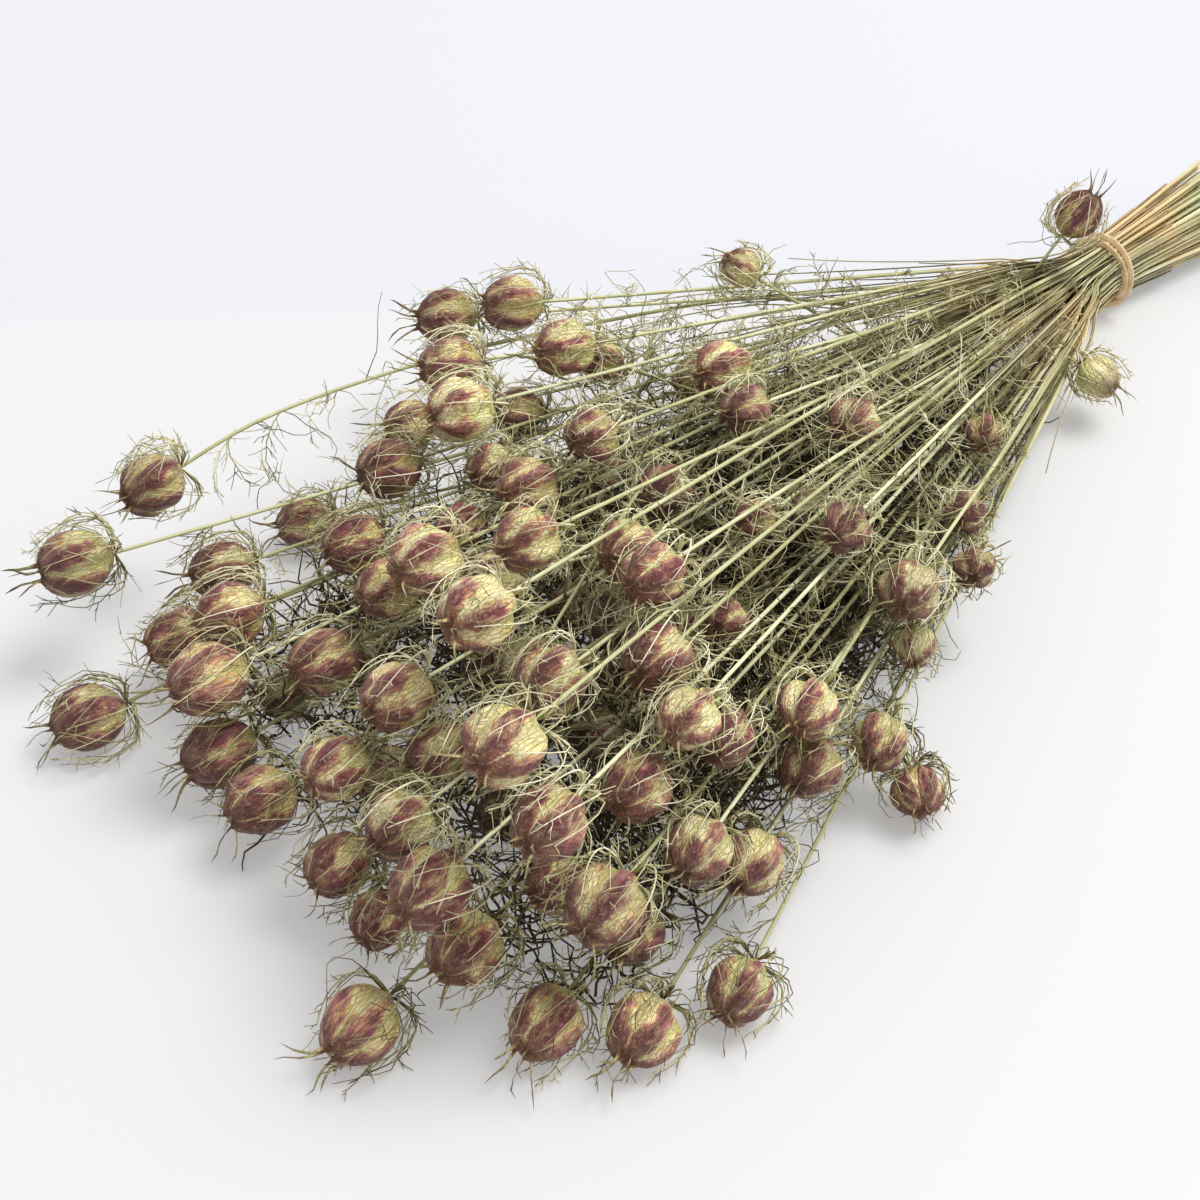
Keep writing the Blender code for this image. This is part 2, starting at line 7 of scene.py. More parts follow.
import json
import math

import bpy
import numpy as np
from mathutils import Matrix, Vector

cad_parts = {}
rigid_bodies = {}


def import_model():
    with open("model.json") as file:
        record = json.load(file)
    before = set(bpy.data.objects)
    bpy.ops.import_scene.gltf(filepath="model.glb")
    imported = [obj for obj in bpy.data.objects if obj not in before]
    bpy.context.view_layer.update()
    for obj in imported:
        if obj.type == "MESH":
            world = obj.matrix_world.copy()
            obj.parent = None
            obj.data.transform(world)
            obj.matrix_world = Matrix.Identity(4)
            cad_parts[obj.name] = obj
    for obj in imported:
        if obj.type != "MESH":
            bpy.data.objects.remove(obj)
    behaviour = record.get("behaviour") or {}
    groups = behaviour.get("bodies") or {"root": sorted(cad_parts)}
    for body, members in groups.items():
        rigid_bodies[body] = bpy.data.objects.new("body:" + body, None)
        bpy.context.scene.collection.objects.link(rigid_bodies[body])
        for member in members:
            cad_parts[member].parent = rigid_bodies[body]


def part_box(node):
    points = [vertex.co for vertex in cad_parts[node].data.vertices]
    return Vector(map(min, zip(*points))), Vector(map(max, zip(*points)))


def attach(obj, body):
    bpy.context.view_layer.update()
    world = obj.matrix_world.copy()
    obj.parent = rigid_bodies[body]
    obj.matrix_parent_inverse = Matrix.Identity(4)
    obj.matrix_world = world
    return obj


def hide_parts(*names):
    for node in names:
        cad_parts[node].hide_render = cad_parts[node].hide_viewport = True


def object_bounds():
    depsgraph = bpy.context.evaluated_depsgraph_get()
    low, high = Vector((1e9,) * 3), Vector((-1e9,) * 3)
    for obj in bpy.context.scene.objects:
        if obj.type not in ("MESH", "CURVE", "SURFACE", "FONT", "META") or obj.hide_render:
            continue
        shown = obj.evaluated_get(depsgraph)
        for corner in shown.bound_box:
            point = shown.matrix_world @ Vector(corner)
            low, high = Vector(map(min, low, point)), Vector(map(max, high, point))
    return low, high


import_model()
cad_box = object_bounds()

MM = 0.001

# The pods that end a tied stem: reach from the tie in mm, bearing in degrees, height in mm, width in mm.
LEAD_PODS = (
    (254, -24, 60, 21), (276, -27, 50, 21), (290, -17, 62, 21), (256, -12, 76, 21),
    (311, -8, 84, 22), (312, -15, 55, 18), (216, -2, 72, 21), (232, 7, 78, 18),
    (202, 14, 68, 19), (293, 1, 90, 17), (315, 0, 78, 20), (337, -9, 62, 21),
    (406, -17, 50, 22), (440, -14, 45, 23), (359, -7, 55, 20), (368, 2, 84, 22),
    (353, 7, 100, 20), (318, 9, 95, 19), (264, 18, 75, 17), (262, 22, 56, 20),
    (336, 13, 92, 20), (392, -13, 24, 21), (407, -7, 42, 22), (418, -10, 20, 21),
    (375, -1, 60, 20), (398, -2, 50, 22), (392, 9, 108, 22), (384, 12, 86, 21),
    (354, 15, 86, 21), (426, -3, 46, 24), (433, -3, 20, 23), (457, -9, 10, 23),
    (409, 6, 74, 21), (428, 14, 106, 23), (370, 17, 74, 19), (355, 19, 64, 18),
    (331, 20, 60, 19), (304, 24, 28, 19), (428, 5, 54, 20), (385, 17, 62, 21),
    (336, 22, 34, 20), (436, 1, 18, 22), (432, 9, 56, 20), (427, 16, 80, 22),
    (387, 20, 44, 20), (364, 21, 28, 21), (448, 12, 56, 23), (438, 6, 24, 20),
    (425, 18, 52, 23), (441, 13, 24, 22), (410, 19, 18, 19), (440, 17, 10, 22),
    (428, 20, 10, 21), (407, 22, 12, 20), (471, 11, 10, 23),
)

# Smaller pods on side branches, given the same way. The first four stand near the tie.
SIDE_PODS = (
    (27, 11, 62, 18), (76, 36, 20, 16), (62, 5, 40, 11), (174, -16, 72, 15),
    (238, -13, 58, 16), (310, -5, 66, 17), (204, -9, 50, 18), (276, -11, 56, 17),
    (334, -2, 66, 16), (349, 3, 72, 17), (276, 13, 76, 14), (199, 24, 44, 15),
    (156, 22, 44, 14), (219, 26, 34, 15), (309, 16, 60, 15), (265, 24, 32, 14),
    (308, 27, 12, 17), (411, 9, 60, 18), (414, 15, 34, 18), (445, 9, 16, 18),
    (352, -17, 8, 19),
)

# Further side pods fill the underside and the far side, where there is most room. They are made darker, which
# is painted shade.
FILL_PODS = 22
FILL_REACH = (240, 440)
FILL_BEARING = (-9, 21)
FILL_HEIGHT = (12, 62)
FILL_WIDTH = (16, 20)
FILL_TRIES = 40

# Pods. Lengths along a pod are given from its centre, as shares of its width.
POD_HALF = 0.58            # from its centre to its foot, and to the root of its horns
POD_HEART = -0.2           # where its stem ends, inside it
POD_CROWN = 0.72           # with the heart, the ends of the rounded space it fills with its horns
POD_SIDES = 10             # sides of a solid pod

# Stems
CUT_LENGTH = (84 * MM, 104 * MM)
CUT_SPREAD = 0.7
STEM_RADIUS = (1.15 * MM, 0.8 * MM)
BRANCH_RADIUS = 0.75 * MM
STEM_STEPS = 7
BRANCH_STEPS = 3
BRANCH_LENGTH = 85 * MM
SPLAY = 1.22               # a stem leaves the tie this much wider than its pod's bearing
ARCHED_STEM = 12           # this stem arches round the far side of the bunch, and isn't straightened
ARCH = (0.67, 1.95)        # how far along that stem aims, and how much wider than its pod's bearing
SLOT_SPACING = 1.62 * MM
GOLDEN_ANGLE = math.pi * (3 - math.sqrt(5))
COLUMNS = 7

# Rubber band
BAND_RADIUS = 0.95 * MM
BAND_AT = -5 * MM
BAND_SPREAD = 3.4 * MM
BAND_POINTS = 36
BAND_NEAR = math.radians(35)   # where its two turns cross, below the +Y side
TURN_APART = 2.16              # from its inner turn to its outer one, in its own radii

# Spacing
GAP = 0.45 * MM
ROUNDS = 340
SMOOTH_ROUNDS = 230
POD_GIVE = 0.45
POD_TURN = 0.06
FLAT = 0.5 * MM
LYING = 0.6 * MM

SEED = 11

# Looks of the pods, on a pod of radius 1 that stands on z = -1
MERIDIANS = 40
PARALLELS = 18
GROOVE_DEPTH = 0.8
FOOT_WIDTH = 0.9
HORN_ROOT = (0.84, 0.935)      # between these heights lie the faces that a horn is drawn out from
HORN_HALF = math.radians(9)    # and this far to either side of the middle of a lobe

# Three ways to draw out a horn: how far each step goes outwards and upwards, and how much thinner it gets
HORN_SHAPES = (
    ((0.02, 0.08, 0.3), (0.09, 0.22, 0.55), (0.12, 0.24, 0.8), (0.15, 0.22, 0.75), (0.18, 0.18, 0.6)),
    ((0.00, 0.09, 0.3), (0.05, 0.24, 0.55), (0.07, 0.26, 0.8), (0.10, 0.24, 0.75), (0.06, 0.24, 0.6)),
    ((0.06, 0.07, 0.3), (0.17, 0.18, 0.55), (0.22, 0.18, 0.8), (0.18, 0.20, 0.75), (0.04, 0.24, 0.6)),
)

# The pods that are nearly all cream or pale green, by their place in the layout, and how red each still is
PALE_PODS = {3: 0.3, 4: 0.1, 6: 0.3, 15: 0.35, 16: 0.45, 26: 0.3, 34: 0.3, 36: 0.4, 38: 0.4,
             56: -1.3, 57: -1.3, 58: 0.1, 70: 0.2, 80: 0.15}
DARK_PODS = (21, 30, 31, 55)   # these are redder and darker than most

# Looks of the stems and threads
STEM_SLIMMER = 0.82
CURVE_STEPS = 4
FIBRES = 4
FIBRE_RADIUS = (0.5 * MM, 0.25 * MM)
BRACT_COUNT = 5
BRACT_ARC = (   # radius and height on a pod of radius 1, from its foot up
    (0.08, -1.05), (0.66, -1.14), (1.12, -0.84), (1.3, -0.22), (1.27, 0.42), (1.1, 0.96), (0.92, 1.4),
)
BRACT_RADIUS = (0.44 * MM, 0.18 * MM)
BRACT_SIDES = (8, 0.32)    # how many side threads it has, and how long they are as a share of the pod's width
RIB_RADIUS = (0.3 * MM, 0.16 * MM)
RIB_SPREAD = 0.42
RIB_SIDES = (3, 0.26)
WISPS = 7
WISP_RADIUS = (0.21 * MM, 0.12 * MM)
MIST_THREADS = 9
MIST_LENGTH = (16 * MM, 36 * MM)
UNDERGROWTH = 118
UNDERGROWTH_LENGTH = (18 * MM, 40 * MM)
UNDERGROWTH_RADIUS = (0.56 * MM, 0.22 * MM)
UNDERGROWTH_REACH = 432    # only this near the tie in mm, and between these bearings in degrees
UNDERGROWTH_BEARING = (-11, 19)
WANDER_STEPS = 6
WANDER_CURL = 0.5
STEM_LEAVES = 17
STEM_LEAFY = (0.1, 0.91)
BRANCH_LEAVES = 5
BRANCH_LEAFY = (0.03, 0.66)
LEAF_LENGTH = (15 * MM, 30 * MM)
FULL_LEAF_REACH = 160 * MM   # nearer the tie than this, the leaves are shorter
LEAF_RADIUS = (0.34 * MM, 0.18 * MM)
LEAF_SIDES = (9, 0.36)     # the same as a share of the leaf's length
SIDE_RADIUS = (0.19 * MM, 0.12 * MM)
TABLE_GAP = 0.6 * MM
STAND_PROUD = 6 * MM       # threads reach this far past the solids to the sides
STAND_HIGHER = 3 * MM      # and this far above them
POD_GAP = 0.1 * MM
STALK_SECTION = 7          # sides of each tube
THREAD_SECTION = 3
BUNCH_SPREAD = 0.36        # half the width of the bunch, as a share of the reach from the tie
BUNCH_CORE = (35 * MM, 50 * MM)   # height of its middle over the table, and half its thickness

# Looks of the band
BAND_SMOOTH = 144
BAND_CLOSER = 0.62
BAND_TIGHTER = 0.88
BAND_WIDTH = 3 * MM
BAND_FLATNESS = 0.3
BAND_SECTION = 10

# The table is a little cooler in tone beyond a faint straight line through the point under the tie
BACK_NORMAL = (-0.653, -0.757)
BACK_BLUR = 20 * MM
TABLE_SIZE = 8
TABLE_GLOW = 0.315

# Light
SKY_COLOUR = (0.975, 0.98, 1.0, 1)
SKY_STRENGTH = 0.74
LAMP_PLACE = (-1.9, 0.9, 4.4)
LAMP_TARGET = (0.1, 0, 0)
LAMP_SIZE = 2.8
LAMP_POWER = 190
LAMP_COLOUR = (1.0, 0.99, 0.97)
GAMMA = 0.87

# Camera, from the point of the table under the tie
CAMERA_PLACE = (682 * MM, 428 * MM, 535 * MM)
CAMERA_AHEAD = (-0.682, -0.731)
CAMERA_PITCH = math.radians(42)
CAMERA_LENS = 66
CAMERA_SENSOR = 36

# Where the tie is, and the corners that the threads stay between
TIE_PLACE = sum(np.array(corner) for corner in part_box("tie")) / 2
LOW = np.array((cad_box[0][0] - STAND_PROUD, cad_box[0][1] - STAND_PROUD, TABLE_GAP))
HIGH = np.array(cad_box[1]) + (STAND_PROUD, STAND_PROUD, STAND_HIGHER)


class Strand:
    """A stem or side branch and its pod: points from its root to the pod's heart, then the pod's crown."""

    def __init__(self, points, radii, width, node, parent=None):
        self.points = np.array(points, float)
        self.radii = list(radii)
        self.width = width
        self.node = node
        self.parent = parent


def table_place(reach, bearing, height):
    """The point at this reach and bearing from the tie, this high over the table, all in mm and degrees."""
    angle = math.radians(bearing)
    return np.array((reach * math.cos(angle), reach * math.sin(angle), height)) * MM


def slots(count):
    """Where the stems pass through the tie, across it, as seeds sit in a sunflower."""
    index = np.arange(count)
    radius = SLOT_SPACING * np.sqrt(index + 0.5)
    return np.stack([radius * np.cos(index * GOLDEN_ANGLE), radius * np.sin(index * GOLDEN_ANGLE)], axis=1)


def band_radius(share):
    """From the middle of the bundle to the band, which goes from its inner turn to its outer one."""
    furthest = BAND_SPREAD + BAND_RADIUS - BAND_AT
    widening = 1 + CUT_SPREAD * furthest / CUT_LENGTH[0]
    bundle = SLOT_SPACING * math.sqrt(len(LEAD_PODS)) * widening + STEM_RADIUS[0]
    return bundle + GAP + BAND_RADIUS * (1 + TURN_APART * share)


def tie_height():
    return band_radius(1) + BAND_RADIUS - FLAT


def slot_of_each_lead():
    """Gives the stems their slots in order: by bearing across the tie, and by height in each column."""
    across = slots(len(LEAD_PODS))
    leads = sorted(range(len(LEAD_PODS)), key=lambda i: LEAD_PODS[i][1])
    places = sorted(range(len(across)), key=lambda i: across[i][0])
    found = {}
    for some_leads, some_places in zip(np.array_split(leads, COLUMNS), np.array_split(places, COLUMNS)):
        by_height = sorted(some_leads, key=lambda i: LEAD_PODS[i][2])
        by_slot = sorted(some_places, key=lambda i: across[i][1])
        for lead, place in zip(by_height, by_slot):
            found[lead] = across[place]
    return found


def bend(start, middle, end, steps):
    """Points on a quadratic Bezier curve, both ends included."""
    t = np.linspace(0, 1, steps + 1)[:, None]
    return (1 - t) ** 2 * start + 2 * t * (1 - t) * middle + t * t * end


def unit(vector):
    return vector / np.linalg.norm(vector)


def heart_and_crown(centre, direction, width):
    along = unit(direction) * width
    return centre + along * POD_HEART, centre + along * POD_CROWN


def pod_centre(strand):
    heart, crown = strand.points[-2:]
    return heart + (crown - heart) * -POD_HEART / (POD_CROWN - POD_HEART)


def lead_strand(row, slot, node, draw):
    reach, bearing, height, width = row
    width *= MM
    across, up = slot
    tie = np.array((0, across, tie_height() + up))
    centre = table_place(reach, bearing, height)
    along, splay = ARCH if node == ARCHED_STEM else (0.5, SPLAY)
    aim = table_place(along * reach, splay * bearing, 0)
    aim[2] = tie[2] + 0.62 * (centre[2] - tie[2])
    lean = np.array((0, draw.uniform(-0.35, 0.35), draw.uniform(-0.4, 0.1)))
    heart, crown = heart_and_crown(centre, unit(centre - aim) + lean, width)
    cut = draw.uniform(*CUT_LENGTH)
    cut_end = np.array((-cut, across * (1 + CUT_SPREAD), tie[2] * 0.95 + 0.75 * up))
    head = bend(tie, aim, heart, STEM_STEPS)
    radii = np.linspace(STEM_RADIUS[0], STEM_RADIUS[1], len(head) + 1)
    return Strand([cut_end, *head, crown], radii, width, node)


def side_strand(row, strands, load, draw):
    """A side branch to this pod, from the stem that passes nearest and carries least."""
    reach, bearing, height, width = row
    width *= MM
    centre = table_place(reach, bearing, height)
    fork_reach = max(reach * MM - BRANCH_LENGTH, -12 * MM)
    best = None
    for parent, strand in enumerate(strands[: len(LEAD_PODS)]):
        stem = strand.points[:-2]
        reaches = np.linalg.norm(stem[:, :2], axis=1) * np.sign(stem[:, 0] + 1e-9)
        at = max(int(np.argmin(np.abs(reaches - fork_reach))), 2)
        cost = np.linalg.norm(stem[at] - centre) * (1 + 0.8 * load[parent])
        if best is None or cost < best[0]:
            best = (cost, parent, at)
    _, parent, at = best
    load[parent] += 1
    fork = strands[parent].points[at]
    along = unit(strands[parent].points[at + 1] - fork)
    aim = fork + along * 0.45 * np.linalg.norm(centre - fork)
    lean = np.array((0, draw.uniform(-0.3, 0.3), draw.uniform(-0.3, 0.3)))
    heart, crown = heart_and_crown(centre, unit(centre - aim) + lean, width)
    route = bend(fork, aim, heart, BRANCH_STEPS)
    return Strand([*route, crown], [BRANCH_RADIUS] * len(route), width, strands[parent].node, (parent, at))


def fill_row(centres, draw):
    """Of some random places low in the bunch, the one furthest from every pod so far."""
    best = None
    for _ in range(FILL_TRIES):
        row = [draw.uniform(*limits) for limits in (FILL_REACH, FILL_BEARING, FILL_HEIGHT, FILL_WIDTH)]
        place = table_place(*row[:3])
        room = min(np.linalg.norm(place - other) for other in centres)
        if best is None or room > best[0]:
            best = (room, row, place)
    centres.append(best[2])
    return best[1]


def all_strands():
    draw = np.random.default_rng(SEED)
    slot_of = slot_of_each_lead()
    strands = [lead_strand(row, slot_of[i], i, draw) for i, row in enumerate(LEAD_PODS)]
    load = [0] * len(strands)
    centres = [table_place(*row[:3]) for row in LEAD_PODS + SIDE_PODS]
    rows = list(SIDE_PODS) + [fill_row(centres, draw) for _ in range(FILL_PODS)]
    for row in rows:
        strands.append(side_strand(row, strands, load, draw))
    return strands


def closest(p, u, q, v):
    """How far along the segments p to p + u and q to q + v they come closest, and the vector between."""
    w = p - q
    uu, uv, vv = (u * u).sum(1), (u * v).sum(1), (v * v).sum(1)
    uw, vw = (u * w).sum(1), (v * w).sum(1)
    s = np.clip((uv * vw - vv * uw) / np.maximum(uu * vv - uv * uv, 1e-18), 0, 1)
    t = np.clip((uv * s + vw) / np.maximum(vv, 1e-18), 0, 1)
    s = np.clip((uv * t - uw) / np.maximum(uu, 1e-18), 0, 1)
    return s, t, w + s[:, None] * u - t[:, None] * v


class Segments:
    """Every straight stretch of the strands as arrays, with a pod as a fat last stretch."""

    def __init__(self, strands):
        first, second, radius, strand = [], [], [], []
        offset = 0
        for number, s in enumerate(strands):
            count = len(s.points)
            for k in range(count - 1):
                pod = k == count - 2
                first.append(offset + k)
                second.append(offset + k + 1)
                radius.append(s.width / 2 if pod else max(s.radii[k], s.radii[k + 1]))
                strand.append(number)
            offset += count
        self.first, self.second = np.array(first), np.array(second)
        self.radius, self.strand = np.array(radius), np.array(strand)
        self.offsets = np.cumsum([0] + [len(s.points) for s in strands])
        self.allowed = self.strand[:, None] < self.strand[None, :]
        for number, s in enumerate(strands):
            if s.parent is not None:
                root = self.strand == number
                root &= self.first == self.offsets[number]
                parent = self.strand == s.parent[0]
                self.allowed[np.ix_(root, parent)] = False
                self.allowed[np.ix_(parent, root)] = False


def spread_apart(strands):
    """Moves stems, and pods less, until none touches another, none is under the table, and each is smooth."""
    segments = Segments(strands)
    points = np.concatenate([s.points for s in strands])
    give = np.ones(len(points))
    floor = np.full(len(points), STEM_RADIUS[0] + 0.3 * MM)
    smooth = np.zeros(len(points), bool)
    for number, s in enumerate(strands):
        start, end = segments.offsets[number], segments.offsets[number + 1]
        give[end - 2:end] = POD_GIVE
        floor[end - 2:end] = s.width / 2 - FLAT
        if s.parent is None:
            give[start + 1] = 0
            smooth[start + 2:end - 2] = s.node != ARCHED_STEM
        else:
            smooth[start + 1:end - 2] = True
    before = np.where(smooth)[0]
    for turn in range(ROUNDS):
        p, q = points[segments.first], points[segments.second]
        middle, half = (p + q) / 2, np.linalg.norm(q - p, axis=1) / 2 + segments.radius + GAP
        near = np.linalg.norm(middle[:, None] - middle[None], axis=2) < half[:, None] + half[None]
        one, two = np.where(near & segments.allowed)
        s, t, apart = closest(p[one], (q - p)[one], p[two], (q - p)[two])
        distance = np.linalg.norm(apart, axis=1)
        lack = segments.radius[one] + segments.radius[two] + GAP - distance
        tight = lack > 0
        one, two, s, t, lack = one[tight], two[tight], s[tight], t[tight], lack[tight]
        push = apart[tight] / np.maximum(distance[tight], 1e-9)[:, None] * (0.5 * lack)[:, None]
        moved = np.zeros_like(points)
        count = np.full(len(points), 1e-9)
        for index, weight, sign in (
            (segments.first[one], 1 - s, 1), (segments.second[one], s, 1),
            (segments.first[two], 1 - t, -1), (segments.second[two], t, -1),
        ):
            np.add.at(moved, index, sign * push * weight[:, None])
            np.add.at(count, index, weight)
        points = points + 1.6 * give[:, None] * moved / np.maximum(count, 1)[:, None]
        if turn < SMOOTH_ROUNDS:
            points[before] += 0.12 * (points[before - 1] + points[before + 1] - 2 * points[before])
        points[:, 2] = np.maximum(points[:, 2], floor)
        for number, strand in enumerate(strands):
            start, end = segments.offsets[number], segments.offsets[number + 1]
            if strand.parent is not None:
                points[start] = points[segments.offsets[strand.parent[0]] + strand.parent[1]]
            before_heart, heart, crown = points[end - 3:end]
            axis = unit(unit(crown - heart) + POD_TURN * unit(heart - before_heart))
            middle = (heart + crown) / 2 - axis * strand.width * (POD_HEART + POD_CROWN) / 2
            points[end - 2:end] = heart_and_crown(middle, axis, strand.width)
    for number, strand in enumerate(strands):
        strand.points = points[segments.offsets[number]:segments.offsets[number + 1]]


def frame_of(direction):
    """Two unit vectors square to this direction, and it."""
    along = unit(direction)
    side = unit(np.cross(along, (0.0, 0.0, 1.0) if abs(along[2]) < 0.9 else (0.0, 1.0, 0.0)))
    return side, np.cross(along, side), along


def lobe_down(strand):
    """The turn that puts a pod's first lobe underneath."""
    side, other, _ = frame_of(strand.points[-1] - strand.points[-2])
    return math.atan2(-other[2], -side[2])


class Pod:
    """Where a pod is and how it is turned."""

    def __init__(self, strand, turn):
        heart, crown = strand.points[-2:]
        side, other, along = frame_of(crown - heart)
        across = side * math.cos(turn) + other * math.sin(turn)
        self.axes = np.array((across, np.cross(along, across), along)).T
        self.centre = pod_centre(strand)
        self.size = np.array((0.5, 0.5, POD_HALF)) * strand.width

    def place(self, points):
        return self.centre + (np.asarray(points) * self.size) @ self.axes.T

    def matrix(self):
        turned = Matrix([list(row) for row in self.axes]).to_4x4()
        return Matrix.Translation(self.centre) @ turned @ Matrix.Diagonal((*self.size, 1))


def turned_pods(strands):
    draw = np.random.default_rng(SEED + 1)
    pods = []
    for strand in strands:
        turn = draw.uniform(0, 2 * math.pi)
        low = pod_centre(strand)[2] < strand.width / 2 + LYING
        pods.append(Pod(strand, lobe_down(strand) if low else turn))
        draw.integers(POD_SIDES)   # the solids take this draw too, and both have to stay in step
    return pods


def band_path(count):
    """Points along the middle of the band, which goes round the stems twice."""
    points = []
    for number in range(count):
        turn = 4 * math.pi * number / count
        radius = band_radius((1 + math.sin(turn / 2)) / 2)
        angle = turn + math.pi - BAND_NEAR
        points.append((BAND_AT + BAND_SPREAD * math.cos(turn / 2), radius * math.cos(angle),
                       tie_height() + radius * math.sin(angle)))
    return np.array(points)


def laid_out():
    """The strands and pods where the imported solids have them."""
    path = band_path(BAND_POINTS)
    shift = TIE_PLACE - (path.min(0) + path.max(0)) / 2
    shift[2] = 0
    strands = all_strands()
    spread_apart(strands)
    for strand in strands:
        strand.points = strand.points + shift
    return strands, turned_pods(strands), shift


# Modelling


def select_only(*objects):
    """Selects these objects and no others, and makes the first of them active."""
    bpy.ops.object.select_all(action="DESELECT")
    for obj in objects:
        obj.select_set(True)
    bpy.context.view_layer.objects.active = objects[0]


def pick(obj, kind, wanted):
    """Goes into edit mode with only the wanted vertices or faces of this object selected."""
    bpy.ops.object.mode_set(mode="OBJECT")
    select_only(obj)
    bpy.ops.object.mode_set(mode="EDIT")
    bpy.ops.mesh.select_mode(type=kind)
    bpy.ops.mesh.select_all(action="DESELECT")
    bpy.ops.object.mode_set(mode="OBJECT")
    if kind == "VERT":
        for vertex in obj.data.vertices:
            vertex.select = wanted(vertex.co)
    else:
        for face in obj.data.polygons:
            face.select = wanted(face.center)
    bpy.ops.object.mode_set(mode="EDIT")


def lobe_share(place):
    """0 on the middle of a lobe and 0.5 in the groove beside it."""
    turns = 5 * math.atan2(place.y, place.x) / (2 * math.pi)
    return abs(turns - round(turns))


def soft_resize(value, reach, falloff="SMOOTH"):
    bpy.ops.transform.resize(value=value, use_proportional_edit=True, proportional_edit_falloff=falloff,
                             proportional_size=reach)


def draw_out_horn(pod, number, steps):
    """Draws the tip of one lobe out into a thin horn, a little further with each step."""
    lobe = 2 * math.pi * number / 5
    ahead = Vector((math.cos(lobe), math.sin(lobe), 0))
    low, high = HORN_ROOT
    narrow = math.cos(HORN_HALF)
    pick(pod, "FACE", lambda c: low < c.z < high and c.xy.normalized().dot(ahead.xy) > narrow)
    for out, up, size in steps:
        further = (ahead.x * out, ahead.y * out, up)
        bpy.ops.mesh.extrude_region_move(TRANSFORM_OT_translate={"value": further})
        bpy.ops.transform.resize(value=(size, size, size))
    bpy.ops.mesh.merge(type="COLLAPSE")
    bpy.ops.object.mode_set(mode="OBJECT")


def points_of(mesh):
    """The places of a mesh's vertices, a row for each."""
    places = np.empty(len(mesh.vertices) * 3, np.float32)
    mesh.vertices.foreach_get("co", places)
    return places.reshape(-1, 3)


def model_pod(name, steps):
    """One inflated pod with five lobes, drawn out into horns, standing on z = -1."""
    bpy.ops.object.select_all(action="DESELECT")
    bpy.ops.mesh.primitive_uv_sphere_add(segments=MERIDIANS, ring_count=PARALLELS, radius=1)
    pod = bpy.context.active_object
    pod.name = name
    pick(pod, "VERT", lambda c: lobe_share(c) > 0.47 and abs(c.z) < 0.95)
    soft_resize((GROOVE_DEPTH, GROOVE_DEPTH, 1), 0.26, "SPHERE")
    pick(pod, "VERT", lambda c: lobe_share(c) < 0.03 and -0.5 < c.z < 0.9)
    soft_resize((1.03, 1.03, 1), 0.2)
    pick(pod, "VERT", lambda c: c.z < -0.8)
    soft_resize((FOOT_WIDTH, FOOT_WIDTH, 1), 0.5)
    pick(pod, "VERT", lambda c: c.z > 0.96)
    bpy.ops.transform.translate(value=(0, 0, -0.14), use_proportional_edit=True,
                                proportional_edit_falloff="SMOOTH", proportional_size=0.22)
    bpy.ops.object.mode_set(mode="OBJECT")
    for number in range(5):
        draw_out_horn(pod, number, steps)
    pod.data.shade_smooth()
    keep = pod.data.attributes.new("pod_place", "FLOAT_VECTOR", "POINT")
    keep.data.foreach_set("vector", points_of(pod.data).ravel())
    return pod


def linked(name, data):
    obj = bpy.data.objects.new(name, data)
    bpy.context.scene.collection.objects.link(obj)
    return obj


def add_value(mesh, name, values):
    """Stores one number a point on a mesh, for its material to read."""
    mesh.attributes.new(name, "FLOAT", "POINT").data.foreach_set("value", np.asarray(values, np.float32))


def keep_between(mesh, low, high):
    """Keeps a pod above the table and under the top of the bunch."""
    places = points_of(mesh)
    places[:, 2] = np.clip(places[:, 2], low, high)
    mesh.vertices.foreach_set("co", places.ravel())


def pod_copy(template, placed, tone, draw):
    """A copy of the template in this pod's place, each lobe a little fuller or thinner than the next."""
    mesh = template.data.copy()
    places = points_of(mesh)
    angle = np.arctan2(places[:, 1], places[:, 0])
    fullness = sum(f * np.clip(np.cos(angle - 2 * math.pi * k / 5), 0, 1) ** 6
                   for k, f in enumerate(draw.normal(0, 0.04, 5)))
    dents = sum(0.016 * np.sin(places @ draw.normal(0, 4, 3) + draw.uniform(0, 6)) for _ in range(5))
    places[:, :2] *= (1 + fullness + dents)[:, None]
    above = np.clip(places[:, 2] - 0.9, 0, None)[:, None]
    places[:, :2] += above ** 1.5 * draw.normal(0, 0.25, 2) + above * 0.22 * np.sin(
        7 * places[:, [1, 0]] + draw.uniform(0, 6, 2))
    lobe = np.round(angle * 5 / (2 * math.pi)).astype(int) % 5
    length = draw.uniform(0.65, 1.15, 5)[lobe]
    places[:, 2] = np.where(places[:, 2] > 0.93, 0.93 + (places[:, 2] - 0.93) * length, places[:, 2])
    mesh.vertices.foreach_set("co", places.ravel())
    mesh.transform(placed.matrix())
    keep_between(mesh, POD_GAP, HIGH[2])
    for channel, value in tone.items():
        add_value(mesh, channel, np.full(len(places), value))
    return linked("pod_copy", mesh)


def join_all(objects, name):
    select_only(*objects)
    if len(objects) > 1:
        bpy.ops.object.join()
    made = bpy.context.view_layer.objects.active
    made.name = made.data.name = name
    return made


def smooth_route(points, steps):
    """More points on the smooth curve through these ones."""
    before = np.vstack([2 * points[0] - points[1], points[:-1]])
    after = np.vstack([points[1:], 2 * points[-1] - points[-2]])
    slope = (after - before) / 2
    route = []
    for k in range(len(points) - 1):
        for t in np.arange(steps) / steps:
            a, b, c = 2 * t ** 3 - 3 * t ** 2 + 1, t ** 3 - 2 * t ** 2 + t, t ** 3 - t ** 2
            route.append(a * points[k] + b * slope[k] + (1 - a) * points[k + 1] + c * slope[k + 1])
    return np.array([*route, points[-1]])


class Thread:
    """A thin tapering line: its points, its radius at its first and last, and how pale it is from 0 to 1."""

    def __init__(self, points, radii, tone=0.5):
        self.points = np.asarray(points)
        self.radii = radii
        self.tone = tone


